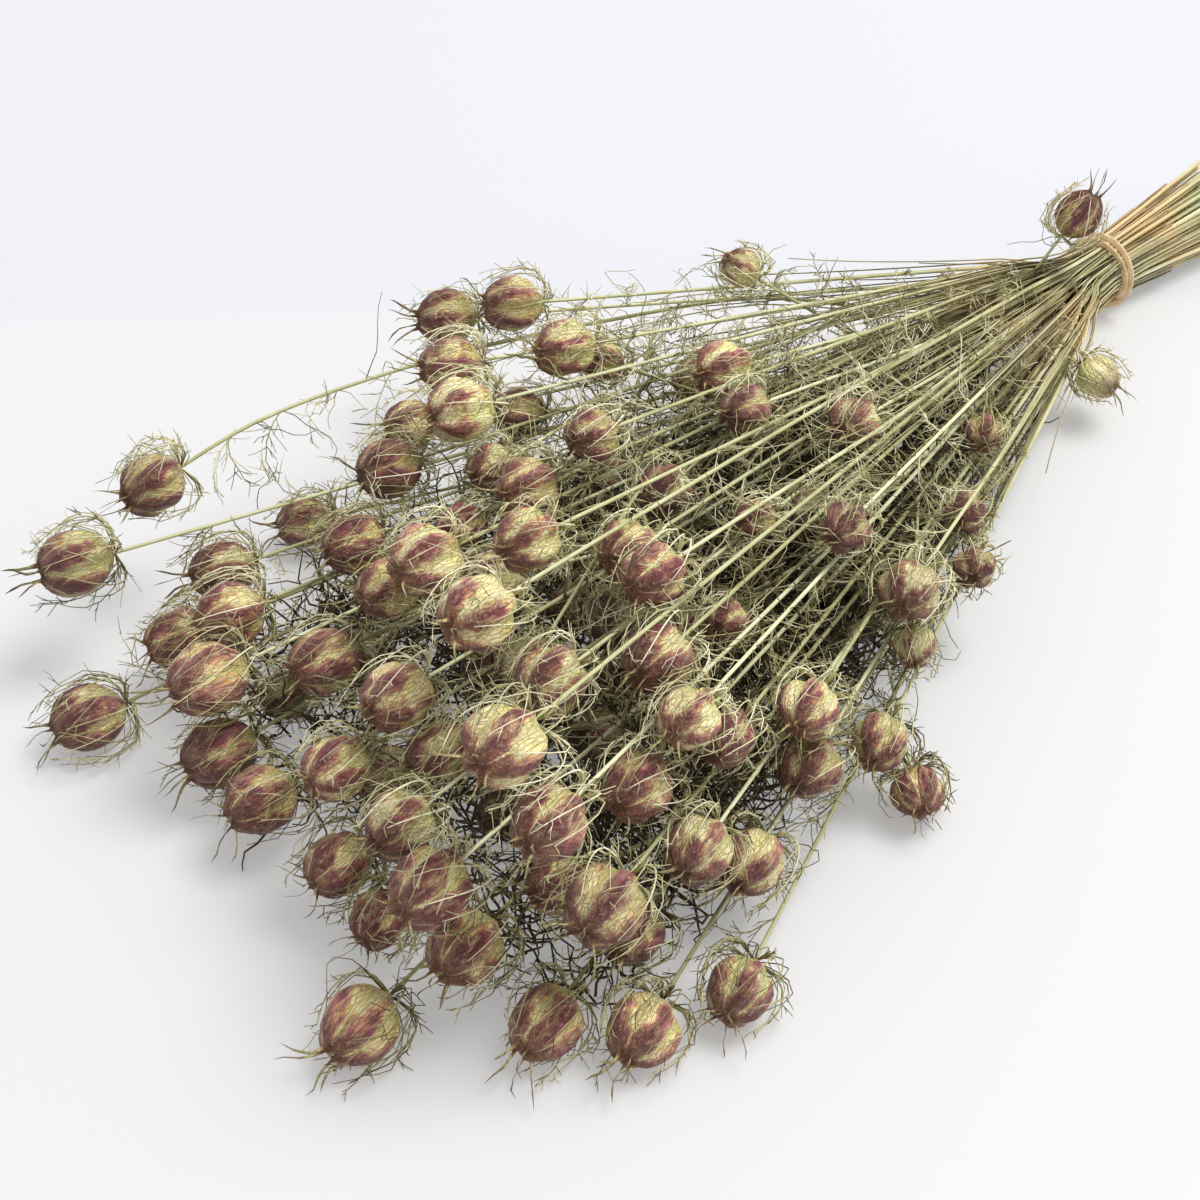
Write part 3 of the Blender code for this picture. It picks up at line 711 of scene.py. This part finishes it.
def swept(name, threads, sides, flatness=1, loop=False):
    """A mesh of closed tubes with this many sides along all these threads, each with its tone."""
    bpy.ops.object.select_all(action="DESELECT")
    bpy.ops.curve.primitive_nurbs_circle_add(radius=1)
    profile = bpy.context.active_object
    profile.data.splines.clear()
    ring = profile.data.splines.new("POLY")
    ring.points.add(sides - 1)
    for number, point in enumerate(ring.points):
        angle = 2 * math.pi * number / sides
        point.co = (math.cos(angle) * flatness, math.sin(angle), 0, 1)
    ring.use_cyclic_u = True
    curve = bpy.data.curves.new(name, "CURVE")
    curve.dimensions = "3D"
    curve.bevel_mode = "OBJECT"
    curve.bevel_object = profile
    curve.use_fill_caps = True
    for thread in threads:
        count = len(thread.points)
        spline = curve.splines.new("POLY")
        spline.points.add(count - 1)
        spline.use_cyclic_u = loop
        spline.points.foreach_set("co", np.hstack([thread.points, np.ones((count, 1))]).ravel())
        spline.points.foreach_set("radius", np.linspace(*thread.radii, count))
    made = linked(name, curve)
    select_only(made)
    bpy.ops.object.convert(target="MESH")
    bpy.data.objects.remove(profile)
    made = bpy.context.view_layer.objects.active
    made.data.shade_smooth()
    tones = np.array([thread.tone for thread in threads])
    along = np.repeat(tones, [sides * len(thread.points) for thread in threads])
    ends = np.repeat(tones[::-1], 0 if loop else 2 * sides)
    add_value(made.data, "tone", np.concatenate([ends, along]))
    weld(made)
    return made


def weld(piece):
    """Joins the ends that close the tubes to the tubes, and faces everything outwards."""
    pick(piece, "VERT", lambda co: True)
    bpy.ops.mesh.remove_doubles(threshold=0.002 * MM)
    bpy.ops.mesh.normals_make_consistent(inside=False)
    bpy.ops.object.mode_set(mode="OBJECT")


def kept_in(points):
    """The same points, none under the table or far outside the bunch."""
    return np.clip(points, LOW, HIGH)


def inward(place):
    """From this place towards the middle of the bunch: about 1 long at its edge, 0 in its middle."""
    reach = max(place[0] - TIE_PLACE[0], 40 * MM)
    sideways = (place[1] - TIE_PLACE[1]) / (reach * BUNCH_SPREAD)
    upwards = (place[2] - BUNCH_CORE[0]) / BUNCH_CORE[1]
    return -np.array((0, sideways, upwards))


def wandering(start, ahead, length, draw):
    """Points of a loose thread that turns at every step and tends back into the bunch."""
    points = [start]
    for _ in range(WANDER_STEPS):
        ahead = unit(ahead + draw.normal(0, WANDER_CURL, 3) + 0.2 * inward(points[-1]))
        points.append(points[-1] + ahead * length / WANDER_STEPS)
    return kept_in(points)


def curl(start, ahead, out, length, bow, count, draw):
    """Points of a thread that sets off ahead and bends outwards, with a little unevenness."""
    t = np.linspace(0, 1, count)[:, None]
    wander = np.cumsum(draw.normal(0, 0.07, (count, 3)), axis=0) * t
    return start + length * (t * ahead * (1 - 0.35 * bow * t) + bow * t * t * out + wander)


def part_way(route, spot):
    """The point this many steps along a route, and the direction there."""
    k = min(int(spot), len(route) - 2)
    step = route[k + 1] - route[k]
    return route[k] + step * (spot - k), unit(step)


def side_threads(spine, face, size, sides, tone, draw):
    """The side threads of a leaf or bract, in turn left and right of its spine, most of them forked."""
    threads = []
    count, share = sides
    reach = share * size
    shares = np.linspace(0.14, 0.95, count) + draw.normal(0, 0.05, count)
    spots = np.clip(shares, 0.05, 0.98) * (len(spine) - 1)
    for number, spot in enumerate(spots):
        start, ahead = part_way(spine, spot)
        left = unit(np.cross(face, ahead)) * (-1) ** number
        out = unit(left + draw.normal(0, 0.35, 3) + 0.45 * face)
        length = reach * draw.uniform(0.6, 1.2) * (1 - 0.5 * number / count)
        first = curl(start, unit(0.75 * ahead + 0.75 * out), unit(out + 0.6 * ahead), length, 0.35, 4, draw)
        shade = tone + draw.normal(0, 0.14)
        threads.append(Thread(kept_in(first), SIDE_RADIUS, shade))
        if number % 3 < 2:
            other = unit(unit(ahead) + 0.35 * out + draw.normal(0, 0.3, 3))
            fork = np.array([first[1], first[1] + other * length * 0.5])
            threads.append(Thread(kept_in(fork), SIDE_RADIUS, shade))
    return threads


def round_pod(placed, angle, twist, wide, tall):
    """Points of an arc that leaves the foot of a pod and runs up round it, turning as it rises."""
    arc = []
    for k, (r, h) in enumerate(BRACT_ARC):
        turned = angle + twist * k / len(BRACT_ARC)
        arc.append((r * wide * math.cos(turned), r * wide * math.sin(turned), (h + 1.05) * tall - 1.05))
    return placed.place(arc)


def lacy_bracts(placed, width, draw):
    """The ruff of bracts that starts under a pod and arches over it like a cage, with loose wisps."""
    threads = []
    start = draw.uniform(0, 2 * math.pi)
    for number in range(BRACT_COUNT):
        angle = start + 2 * math.pi * number / BRACT_COUNT + draw.normal(0, 0.2)
        twist = draw.choice((-1, 1)) * draw.uniform(0.4, 1.1)
        wide, tall = draw.uniform(0.93, 1.08), draw.uniform(0.65, 1.0)
        out = placed.axes @ np.array((math.cos(angle), math.sin(angle), 0))
        pale = draw.uniform(0.65, 1.05)
        spine = round_pod(placed, angle, twist, wide, tall)
        threads.append(Thread(kept_in(smooth_route(spine, 2)), BRACT_RADIUS, pale))
        threads += side_threads(spine, out, width, BRACT_SIDES, pale - 0.2, draw)
        for spread in (-RIB_SPREAD, RIB_SPREAD):
            girth = wide * draw.uniform(0.95, 1.05)
            rib = round_pod(placed, angle, twist + 2 * spread, girth, 0.85 * tall)
            threads.append(Thread(kept_in(rib), RIB_RADIUS, pale - 0.1))
            threads += side_threads(rib, out, width, RIB_SIDES, pale - 0.25, draw)
    for _ in range(WISPS):
        arc = round_pod(placed, draw.uniform(0, 6.28), draw.normal(0, 1.1), draw.uniform(0.9, 1.2),
                        draw.uniform(0.45, 0.95))
        threads.append(Thread(kept_in(arc + draw.normal(0, 0.045 * width, arc.shape)), WISP_RADIUS,
                              draw.uniform(0.2, 0.9)))
    return threads


def mist(route, draw):
    """Fine curling threads that leave a stem below its pod in all directions."""
    threads = []
    for _ in range(MIST_THREADS):
        start = route[-1 - int(draw.integers(3, min(len(route) - 1, 11)))]
        ahead = unit(0.3 * unit(route[-1] - route[-2]) + draw.normal(0, 0.8, 3))
        threads.append(Thread(wandering(start, ahead, draw.uniform(*MIST_LENGTH), draw), WISP_RADIUS,
                              draw.uniform(0.05, 0.8)))
    return threads


def undergrowth(route, draw):
    """Threads tangled under the outer part of a stem, down to the table, where the heap is dense. The threads
    are part of the tangle, but their dark tone is painted shade.
    """
    threads = []
    for _ in range(UNDERGROWTH):
        spot = route[int(draw.uniform(0.55, 1.0) * (len(route) - 1))]
        start = spot + draw.normal(0, 7 * MM, 3)
        start[2] = spot[2] * draw.uniform(0.05, 0.7)
        ahead = unit(draw.normal(0, 1, 3) * (1, 1, 0.4))
        # The low tone is painted shade for the deep, shaded part of the heap.
        length, tone = draw.uniform(*UNDERGROWTH_LENGTH), draw.uniform(-0.1, 0.3)
        east, north, _ = (start - TIE_PLACE) / MM
        reach, bearing = math.hypot(east, north), math.degrees(math.atan2(north, east))
        if reach < UNDERGROWTH_REACH and UNDERGROWTH_BEARING[0] < bearing < UNDERGROWTH_BEARING[1]:
            threads.append(Thread(wandering(start, ahead, length, draw), UNDERGROWTH_RADIUS, tone))
    return threads


def thread_leaf(start, ahead, out, draw):
    """A leaf cut into fine threads, which leaves its stem forwards and bends out."""
    reach = start[0] - TIE_PLACE[0]
    length = draw.uniform(*LEAF_LENGTH) * min(1, max(0.3, reach / FULL_LEAF_REACH))
    out = unit(out + inward(start))
    spine = curl(start, unit(1.3 * ahead + 0.6 * out), unit(out + draw.normal(0, 0.4, 3)), length,
                 draw.uniform(0.3, 0.8), 6, draw)
    face = unit(np.cross(ahead, out) + draw.normal(0, 0.4, 3))
    tone = draw.uniform(0.3, 1.0)
    middle = Thread(kept_in(spine), LEAF_RADIUS, tone + 0.15)
    return [middle] + side_threads(spine, face, length, LEAF_SIDES, tone, draw)


def leaves_along(route, count, first, last, draw):
    """Thread leaves on a stem between these shares of its length."""
    threads = []
    for share in np.linspace(first, last, count) + draw.uniform(-0.04, 0.04, count):
        start, ahead = part_way(route, min(max(share, 0.01), 0.98) * (len(route) - 1))
        side, other, _ = frame_of(ahead)
        angle = draw.uniform(0, 2 * math.pi)
        out = side * math.cos(angle) + other * math.sin(angle)
        threads += thread_leaf(start, ahead, out, draw)
    return threads


def dry_fibres(route, radius, draw):
    """Thin dry leaf stalks that lie along a stem from near its cut end and come away from it further up."""
    fibres = []
    side, other, _ = frame_of(route[8] - route[4])
    for _ in range(FIBRES):
        piece = route[int(draw.integers(0, 5)):int(draw.integers(11, len(route) - 6))]
        t = np.linspace(0, 1, len(piece))[:, None]
        swing = draw.uniform(0, 2 * math.pi) + draw.normal(0, 1.5) * t
        away = radius * 1.4 + draw.uniform(0, 1.4 * MM) + draw.uniform(0, 9 * MM) * t ** 3
        offset = (side * np.cos(swing) + other * np.sin(swing)) * away
        fibres.append(Thread(kept_in(piece + offset), FIBRE_RADIUS, draw.uniform(0.0, 0.8)))
    return fibres


# Materials


def srgb(red, green, blue):
    """A colour as it is picked on a screen, from 0 to 255, made linear."""
    return tuple((c / 255 / 12.92) if c <= 10 else ((c / 255 + 0.055) / 1.055) ** 2.4
                 for c in (red, green, blue)) + (1.0,)


class Finish:
    """A material and short ways to add nodes to it."""

    def __init__(self, name, roughness):
        self.material = bpy.data.materials.new(name)
        self.material.use_nodes = True
        self.nodes = self.material.node_tree.nodes
        self.links = self.material.node_tree.links
        self.shader = self.nodes["Principled BSDF"]
        self.shader.inputs["Roughness"].default_value = roughness

    def feed(self, socket, value):
        if isinstance(value, bpy.types.NodeSocket):
            self.links.new(value, socket)
        else:
            socket.default_value = value

    def math(self, operation, *values, clamp=False):
        node = self.nodes.new("ShaderNodeMath")
        node.operation = operation
        node.use_clamp = clamp
        for socket, value in zip(node.inputs, values):
            self.feed(socket, value)
        return node.outputs[0]

    def plus(self, one, other):
        return self.math("ADD", one, other)

    def times(self, one, other):
        return self.math("MULTIPLY", one, other)

    def swing(self, noise, strength):
        """A noise made to go this strongly either side of 0."""
        return self.times(self.math("SUBTRACT", noise, 0.5), strength)

    def mix(self, share, first, second, blend="MIX"):
        node = self.nodes.new("ShaderNodeMix")
        node.data_type = "RGBA"
        node.blend_type = blend
        for socket, value in zip((node.inputs[0], node.inputs[6], node.inputs[7]), (share, first, second)):
            self.feed(socket, value)
        return node.outputs[2]

    def ramp(self, value, stops):
        node = self.nodes.new("ShaderNodeValToRGB")
        elements = node.color_ramp.elements
        while len(elements) < len(stops):
            elements.new(0.5)
        for element, (position, colour) in zip(elements, stops):
            element.position = position
            element.color = colour
        self.feed(node.inputs[0], value)
        return node.outputs[0]

    def step(self, value, start, end):
        """0 up to start, 1 from end on, and smooth between."""
        node = self.nodes.new("ShaderNodeMapRange")
        node.interpolation_type = "SMOOTHSTEP"
        self.feed(node.inputs[0], value)
        node.inputs[1].default_value, node.inputs[2].default_value = start, end
        return node.outputs[0]

    def attribute(self, name):
        node = self.nodes.new("ShaderNodeAttribute")
        node.attribute_name = name
        return node

    def value_of(self, name):
        return self.attribute(name).outputs["Fac"]

    def object_place(self):
        return self.nodes.new("ShaderNodeTexCoord").outputs["Object"]

    def split(self, vector):
        node = self.nodes.new("ShaderNodeSeparateXYZ")
        self.feed(node.inputs[0], vector)
        return node.outputs

    def texture(self, kind, vector, scale, squeeze):
        """A texture node of this kind, scaled, and squeezed along each axis."""
        mapping = self.nodes.new("ShaderNodeMapping")
        mapping.inputs["Scale"].default_value = squeeze
        self.feed(mapping.inputs["Vector"], vector)
        node = self.nodes.new(kind)
        self.feed(node.inputs["Vector"], mapping.outputs[0])
        node.inputs["Scale"].default_value = scale
        return node

    def noise(self, vector, scale, detail, squeeze=(1, 1, 1)):
        node = self.texture("ShaderNodeTexNoise", vector, scale, squeeze)
        node.inputs["Detail"].default_value = detail
        return node.outputs["Fac"]

    def cell_edges(self, vector, scale, squeeze):
        """0 along the edges of a net of cells, more inside them."""
        node = self.texture("ShaderNodeTexVoronoi", vector, scale, squeeze)
        node.feature = "DISTANCE_TO_EDGE"
        return node.outputs["Distance"]

    def bump(self, height, strength, distance):
        node = self.nodes.new("ShaderNodeBump")
        node.inputs["Strength"].default_value = strength
        node.inputs["Distance"].default_value = distance
        self.feed(node.inputs["Height"], height)
        self.links.new(node.outputs[0], self.shader.inputs["Normal"])

    def colour(self, value):
        self.feed(self.shader.inputs["Base Color"], value)
        return self.material


CREAM = srgb(246, 234, 194)
PALE_GREEN = srgb(212, 210, 140)
GOLD = srgb(214, 176, 112)
ROSE = srgb(196, 140, 130)
MAUVE = srgb(164, 98, 108)
BURGUNDY = srgb(126, 62, 72)
DEEP_PURPLE = srgb(84, 38, 44)
DRY_BROWN = srgb(134, 98, 62)
HORN_PALE = srgb(188, 176, 126)
HORN_OLIVE = srgb(128, 120, 84)
SEAM_GREEN = srgb(218, 210, 150)
SHADE_LOW = (0.3, 0.28, 0.25, 1)
SHADE_HIGH = (1.42, 1.42, 1.38, 1)


def papery_pod():
    """Cream to pale green, with a mauve or burgundy band down each lobe, golden edges and pale veins."""
    f = Finish("papery_pod", 0.38)
    place = f.attribute("pod_place").outputs["Vector"]
    x, y, z = f.split(place)
    offset = f.nodes.new("ShaderNodeCombineXYZ")
    f.feed(offset.inputs[0], f.value_of("pod_seed"))
    shifted = f.nodes.new("ShaderNodeVectorMath")
    f.feed(shifted.inputs[0], place)
    f.feed(shifted.inputs[1], offset.outputs[0])
    seeded = shifted.outputs[0]
    turns = f.times(f.math("ARCTAN2", y, x), 5 / (2 * math.pi))
    from_middle = f.math("PINGPONG", turns, 0.5)
    patchy = f.noise(seeded, 1.5, 2)
    streaky = f.noise(seeded, 4.5, 4, (1.6, 1.6, 0.45))
    fine = f.noise(seeded, 15, 4, (1.6, 1.6, 0.6))
    veins = f.cell_edges(seeded, 5.5, (1.5, 1.5, 0.55))

    # The cream or green ground
    ground = f.mix(f.step(f.plus(f.times(z, -0.25), patchy), 0.3, 0.75), CREAM, PALE_GREEN)
    ground = f.mix(f.value_of("pod_green"), ground, PALE_GREEN)
    ground = f.mix(f.times(f.value_of("pod_gold"), f.step(streaky, 0.35, 0.65)), ground, GOLD)

    # The band down each lobe
    width = f.plus(f.times(z, 0.24), f.times(f.value_of("pod_blush"), 0.42))
    width = f.plus(f.plus(width, f.swing(patchy, 1.2)), f.swing(streaky, 0.6))
    band = f.step(f.math("SUBTRACT", width, from_middle), -0.2, 0.24)
    blush = f.ramp(band, ((0.0, GOLD), (0.25, GOLD), (0.5, ROSE), (0.75, MAUVE), (1.0, BURGUNDY)))
    golden = f.times(f.step(f.noise(seeded, 2.6, 3, (1.4, 1.4, 0.7)), 0.48, 0.64), 0.55)
    blush = f.mix(golden, blush, f.mix(0.5, GOLD, ROSE))
    blush = f.mix(f.times(f.step(fine, 0.4, 0.65), 0.35), blush, f.mix(0.45, blush, DEEP_PURPLE))
    colour = f.mix(f.step(band, 0.0, 0.4), ground, blush)

    # Pale streaks and veins, the darker crown, the pale seam between lobes and the dark ridge on each
    colour = f.mix(f.times(f.step(streaky, 0.5, 0.68), 0.35), colour, CREAM)
    colour = f.mix(f.times(f.step(veins, 0.06, 0.0), 0.32), colour, f.mix(0.6, colour, GOLD))
    upper = f.step(f.plus(z, f.times(patchy, 0.8)), 0.3, 1.5)
    colour = f.mix(f.times(upper, 0.6), colour, f.mix(0.3, DEEP_PURPLE, DRY_BROWN))
    colour = f.mix(f.times(f.step(from_middle, 0.44, 0.485), 0.7), colour, SEAM_GREEN)
    ridge = f.times(f.step(from_middle, 0.035, 0.0), f.step(z, -0.5, 0.5))
    colour = f.mix(f.times(ridge, 0.4), colour, DEEP_PURPLE)
    crown = f.step(f.plus(z, f.times(patchy, 0.3)), 0.86, 1.1)
    crown_colour = f.mix(f.step(from_middle, 0.2, 0.45), DRY_BROWN, BURGUNDY)
    colour = f.mix(f.times(crown, 0.6), colour, crown_colour)
    colour = f.mix(f.step(z, 0.98, 1.15), colour, f.mix(f.step(z, 1.1, 1.7), HORN_PALE, HORN_OLIVE))

    # A lightness for each pod: it differs at random, and it is lower on the pods that fill the underside,
    # which is painted shade.
    light = f.plus(f.times(fine, 0.35), f.value_of("pod_light"))
    colour = f.mix(1.0, colour, f.ramp(light, ((0.0, SHADE_LOW), (1.0, SHADE_HIGH))), "MULTIPLY")
    relief = f.plus(streaky, f.times(f.step(veins, 0.1, 0.0), 0.25))
    f.bump(f.plus(relief, f.times(fine, 0.4)), 0.95, 1.8 * MM)
    f.shader.inputs["Sheen Weight"].default_value = 0.15
    return f.colour(colour)


def plant_finish(name, dark, middle, pale, near_tie):
    """Dry plant fibre that turns browner towards the tie and the cut ends, and is darkened low over the table
    away from the tie as painted shade.
    """
    f = Finish(name, 0.65)
    place = f.object_place()
    x, _, z = f.split(place)
    fibre = f.noise(place, 900, 2)
    tone = f.plus(f.plus(f.value_of("tone"), f.swing(f.noise(place, 60, 3), 0.9)), f.swing(fibre, 0.4))
    near = f.step(x, TIE_PLACE[0] + 0.16, TIE_PLACE[0] - 0.02)
    # Painted shade: fibre within a few cm of the table is made darker, as if shaded by the bunch above it,
    # except near the tie.
    painted_shade_low = f.times(f.step(z, 0.07, 0.01), f.math("SUBTRACT", 1, near))
    tone = f.math("SUBTRACT", tone, f.times(painted_shade_low, 0.35), clamp=True)
    colour = f.ramp(tone, ((0.0, dark), (0.5, middle), (1.0, pale)))
    colour = f.mix(f.times(near, f.step(f.noise(place, 25, 2), 0.35, 0.7)), colour, near_tie)
    f.bump(fibre, 0.35, 0.3 * MM)
    return f.colour(colour)


def stem_green():
    dark, middle, pale = srgb(142, 140, 96), srgb(192, 192, 146), srgb(228, 228, 194)
    return plant_finish("dry_stem", dark, middle, pale, srgb(228, 200, 154))


def leaf_thread():
    dark, middle, pale = srgb(84, 70, 48), srgb(188, 182, 134), srgb(250, 246, 216)
    return plant_finish("leaf_thread", dark, middle, pale, srgb(220, 194, 148))


def tan_rubber():
    f = Finish("tan_rubber", 0.45)
    place = f.object_place()
    tans = ((0.3, srgb(224, 194, 154)), (0.55, srgb(240, 218, 182)), (0.75, srgb(248, 234, 206)))
    colour = f.ramp(f.noise(place, 240, 4), tans)
    f.bump(f.noise(place, 1400, 2), 0.3, 0.15 * MM)
    return f.colour(colour)


def white_table(shift):
    f = Finish("white_table", 0.6)
    x, y, _ = f.split(f.object_place())
    across = f.plus(f.times(x, BACK_NORMAL[0]), f.times(y, BACK_NORMAL[1]))
    line = BACK_NORMAL[0] * shift[0] + BACK_NORMAL[1] * shift[1]
    behind = f.step(across, line, line + BACK_BLUR)
    colour = f.mix(behind, srgb(178, 178, 179), srgb(172, 174, 180))
    f.shader.inputs["Emission Color"].default_value = (1, 1, 1, 1)
    f.shader.inputs["Emission Strength"].default_value = TABLE_GLOW
    return f.colour(colour)


# Building


def declare(piece, nodes, material):
    piece.data.materials.clear()
    piece.data.materials.append(material)
    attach(piece, "root")
    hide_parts(*nodes)


def pod_tone(number, draw):
    """How red, green, golden and light a pod is. A few are almost all cream or green, and the pods that fill
    the underside and far side are made darker as painted shade.
    """
    tone = {
        "pod_seed": draw.uniform(0, 60),
        "pod_blush": draw.uniform(0.35, 1.0),
        "pod_green": draw.uniform(0, 0.4),
        "pod_gold": max(0.0, draw.uniform(-0.5, 0.8)),
        "pod_light": draw.uniform(0.4, 0.8),
    }
    # Painted shade: the pods that fill the underside and far side are made darker.
    if number >= len(LEAD_PODS) + len(SIDE_PODS):
        tone.update(pod_light=draw.uniform(0.05, 0.35))
    if number in DARK_PODS:
        tone.update(pod_blush=0.9, pod_light=0.4)
    if number in PALE_PODS:
        tone.update(pod_blush=PALE_PODS[number], pod_gold=0.0, pod_light=0.85)
    return tone


def build_stem(number, strands, pods, templates, materials, draw):
    """The stem, threads and pods of one node, each as one piece."""
    node = f"stem_{number + 1:02d}"
    mine = [k for k, strand in enumerate(strands) if strand.node == number]
    stalks, threads, heads = [], [], []
    for k in mine:
        strand, placed = strands[k], pods[k]
        lead = strand.parent is None
        route = smooth_route(strand.points[:-1], CURVE_STEPS)
        slim = (strand.radii[0] * STEM_SLIMMER, strand.radii[-1] * STEM_SLIMMER)
        stalks.append(Thread(route, slim, draw.uniform(0.3, 1.1)))
        leafy = route[CURVE_STEPS + 2:] if lead else route
        if lead:
            threads += leaves_along(leafy, STEM_LEAVES, *STEM_LEAFY, draw)
        elif placed.centre[0] > TIE_PLACE[0] + FULL_LEAF_REACH:
            threads += leaves_along(leafy, BRANCH_LEAVES, *BRANCH_LEAFY, draw)
        threads += dry_fibres(route, strand.radii[0], draw) if lead else []
        threads += lacy_bracts(placed, strand.width, draw)
        threads += mist(route, draw)
        threads += undergrowth(route, draw) if lead else []
        template = templates[int(draw.integers(len(templates)))]
        heads.append(pod_copy(template, placed, pod_tone(k, draw), draw))
    stalk = swept(node + "_stalk", stalks, STALK_SECTION)
    declare(stalk, [node], materials["stem"])
    leaf = swept(node + "_threads", threads, THREAD_SECTION)
    declare(leaf, [node], materials["thread"])
    head = join_all(heads, node + "_pods")
    declare(head, [node], materials["pod"])


def build_band(shift, material):
    """The flat rubber band, twice round the stems."""
    middle = np.array((BAND_AT, 0, tie_height()))
    path = middle + (band_path(BAND_SMOOTH) - middle) * (BAND_CLOSER, BAND_TIGHTER, BAND_TIGHTER) + shift
    ring = Thread(path, (BAND_WIDTH / 2, BAND_WIDTH / 2))
    band = swept("band", [ring], BAND_SECTION, BAND_FLATNESS, loop=True)
    declare(band, ["tie"], material)


def build_table(shift):
    bpy.ops.object.select_all(action="DESELECT")
    bpy.ops.mesh.primitive_plane_add(size=TABLE_SIZE)
    table = bpy.context.active_object
    table.name = "table_top"
    table.data.materials.append(white_table(shift))


def light_studio():
    """An even pale surround, and one large soft lamp high up beyond the cut ends."""
    world = bpy.data.worlds.new("soft_studio")
    world.use_nodes = True
    backdrop = world.node_tree.nodes["Background"]
    backdrop.inputs["Color"].default_value = SKY_COLOUR
    backdrop.inputs["Strength"].default_value = SKY_STRENGTH
    bpy.context.scene.world = world
    lamp = bpy.data.lights.new("window", "AREA")
    lamp.shape = "DISK"
    lamp.size = LAMP_SIZE
    lamp.energy = LAMP_POWER
    lamp.color = LAMP_COLOUR
    window = linked("window", lamp)
    window.location = LAMP_PLACE
    window.rotation_euler = (Vector(LAMP_TARGET) - Vector(LAMP_PLACE)).to_track_quat("-Z", "Y").to_euler()


def add_camera(shift):
    camera = bpy.data.cameras.new("camera")
    camera.lens = CAMERA_LENS
    camera.sensor_width = CAMERA_SENSOR
    camera.clip_end = 20
    obj = linked("camera", camera)
    obj.location = np.array(CAMERA_PLACE) + shift
    level, drop = math.cos(CAMERA_PITCH), math.sin(CAMERA_PITCH)
    ahead = Vector((CAMERA_AHEAD[0] * level, CAMERA_AHEAD[1] * level, -drop))
    obj.rotation_euler = ahead.to_track_quat("-Z", "Y").to_euler()
    bpy.context.scene.camera = obj


def main():
    strands, pods, shift = laid_out()
    draw = np.random.default_rng(SEED + 5)
    templates = [model_pod(f"pod_template_{k}", steps) for k, steps in enumerate(HORN_SHAPES)]
    materials = {"stem": stem_green(), "thread": leaf_thread(), "pod": papery_pod()}
    for number in range(len(LEAD_PODS)):
        build_stem(number, strands, pods, templates, materials, draw)
    for template in templates:
        bpy.data.objects.remove(template)
    build_band(shift, tan_rubber())
    build_table(shift)
    light_studio()
    add_camera(shift)
    bpy.context.scene.view_settings.view_transform = "Standard"
    bpy.context.scene.view_settings.gamma = GAMMA


main()
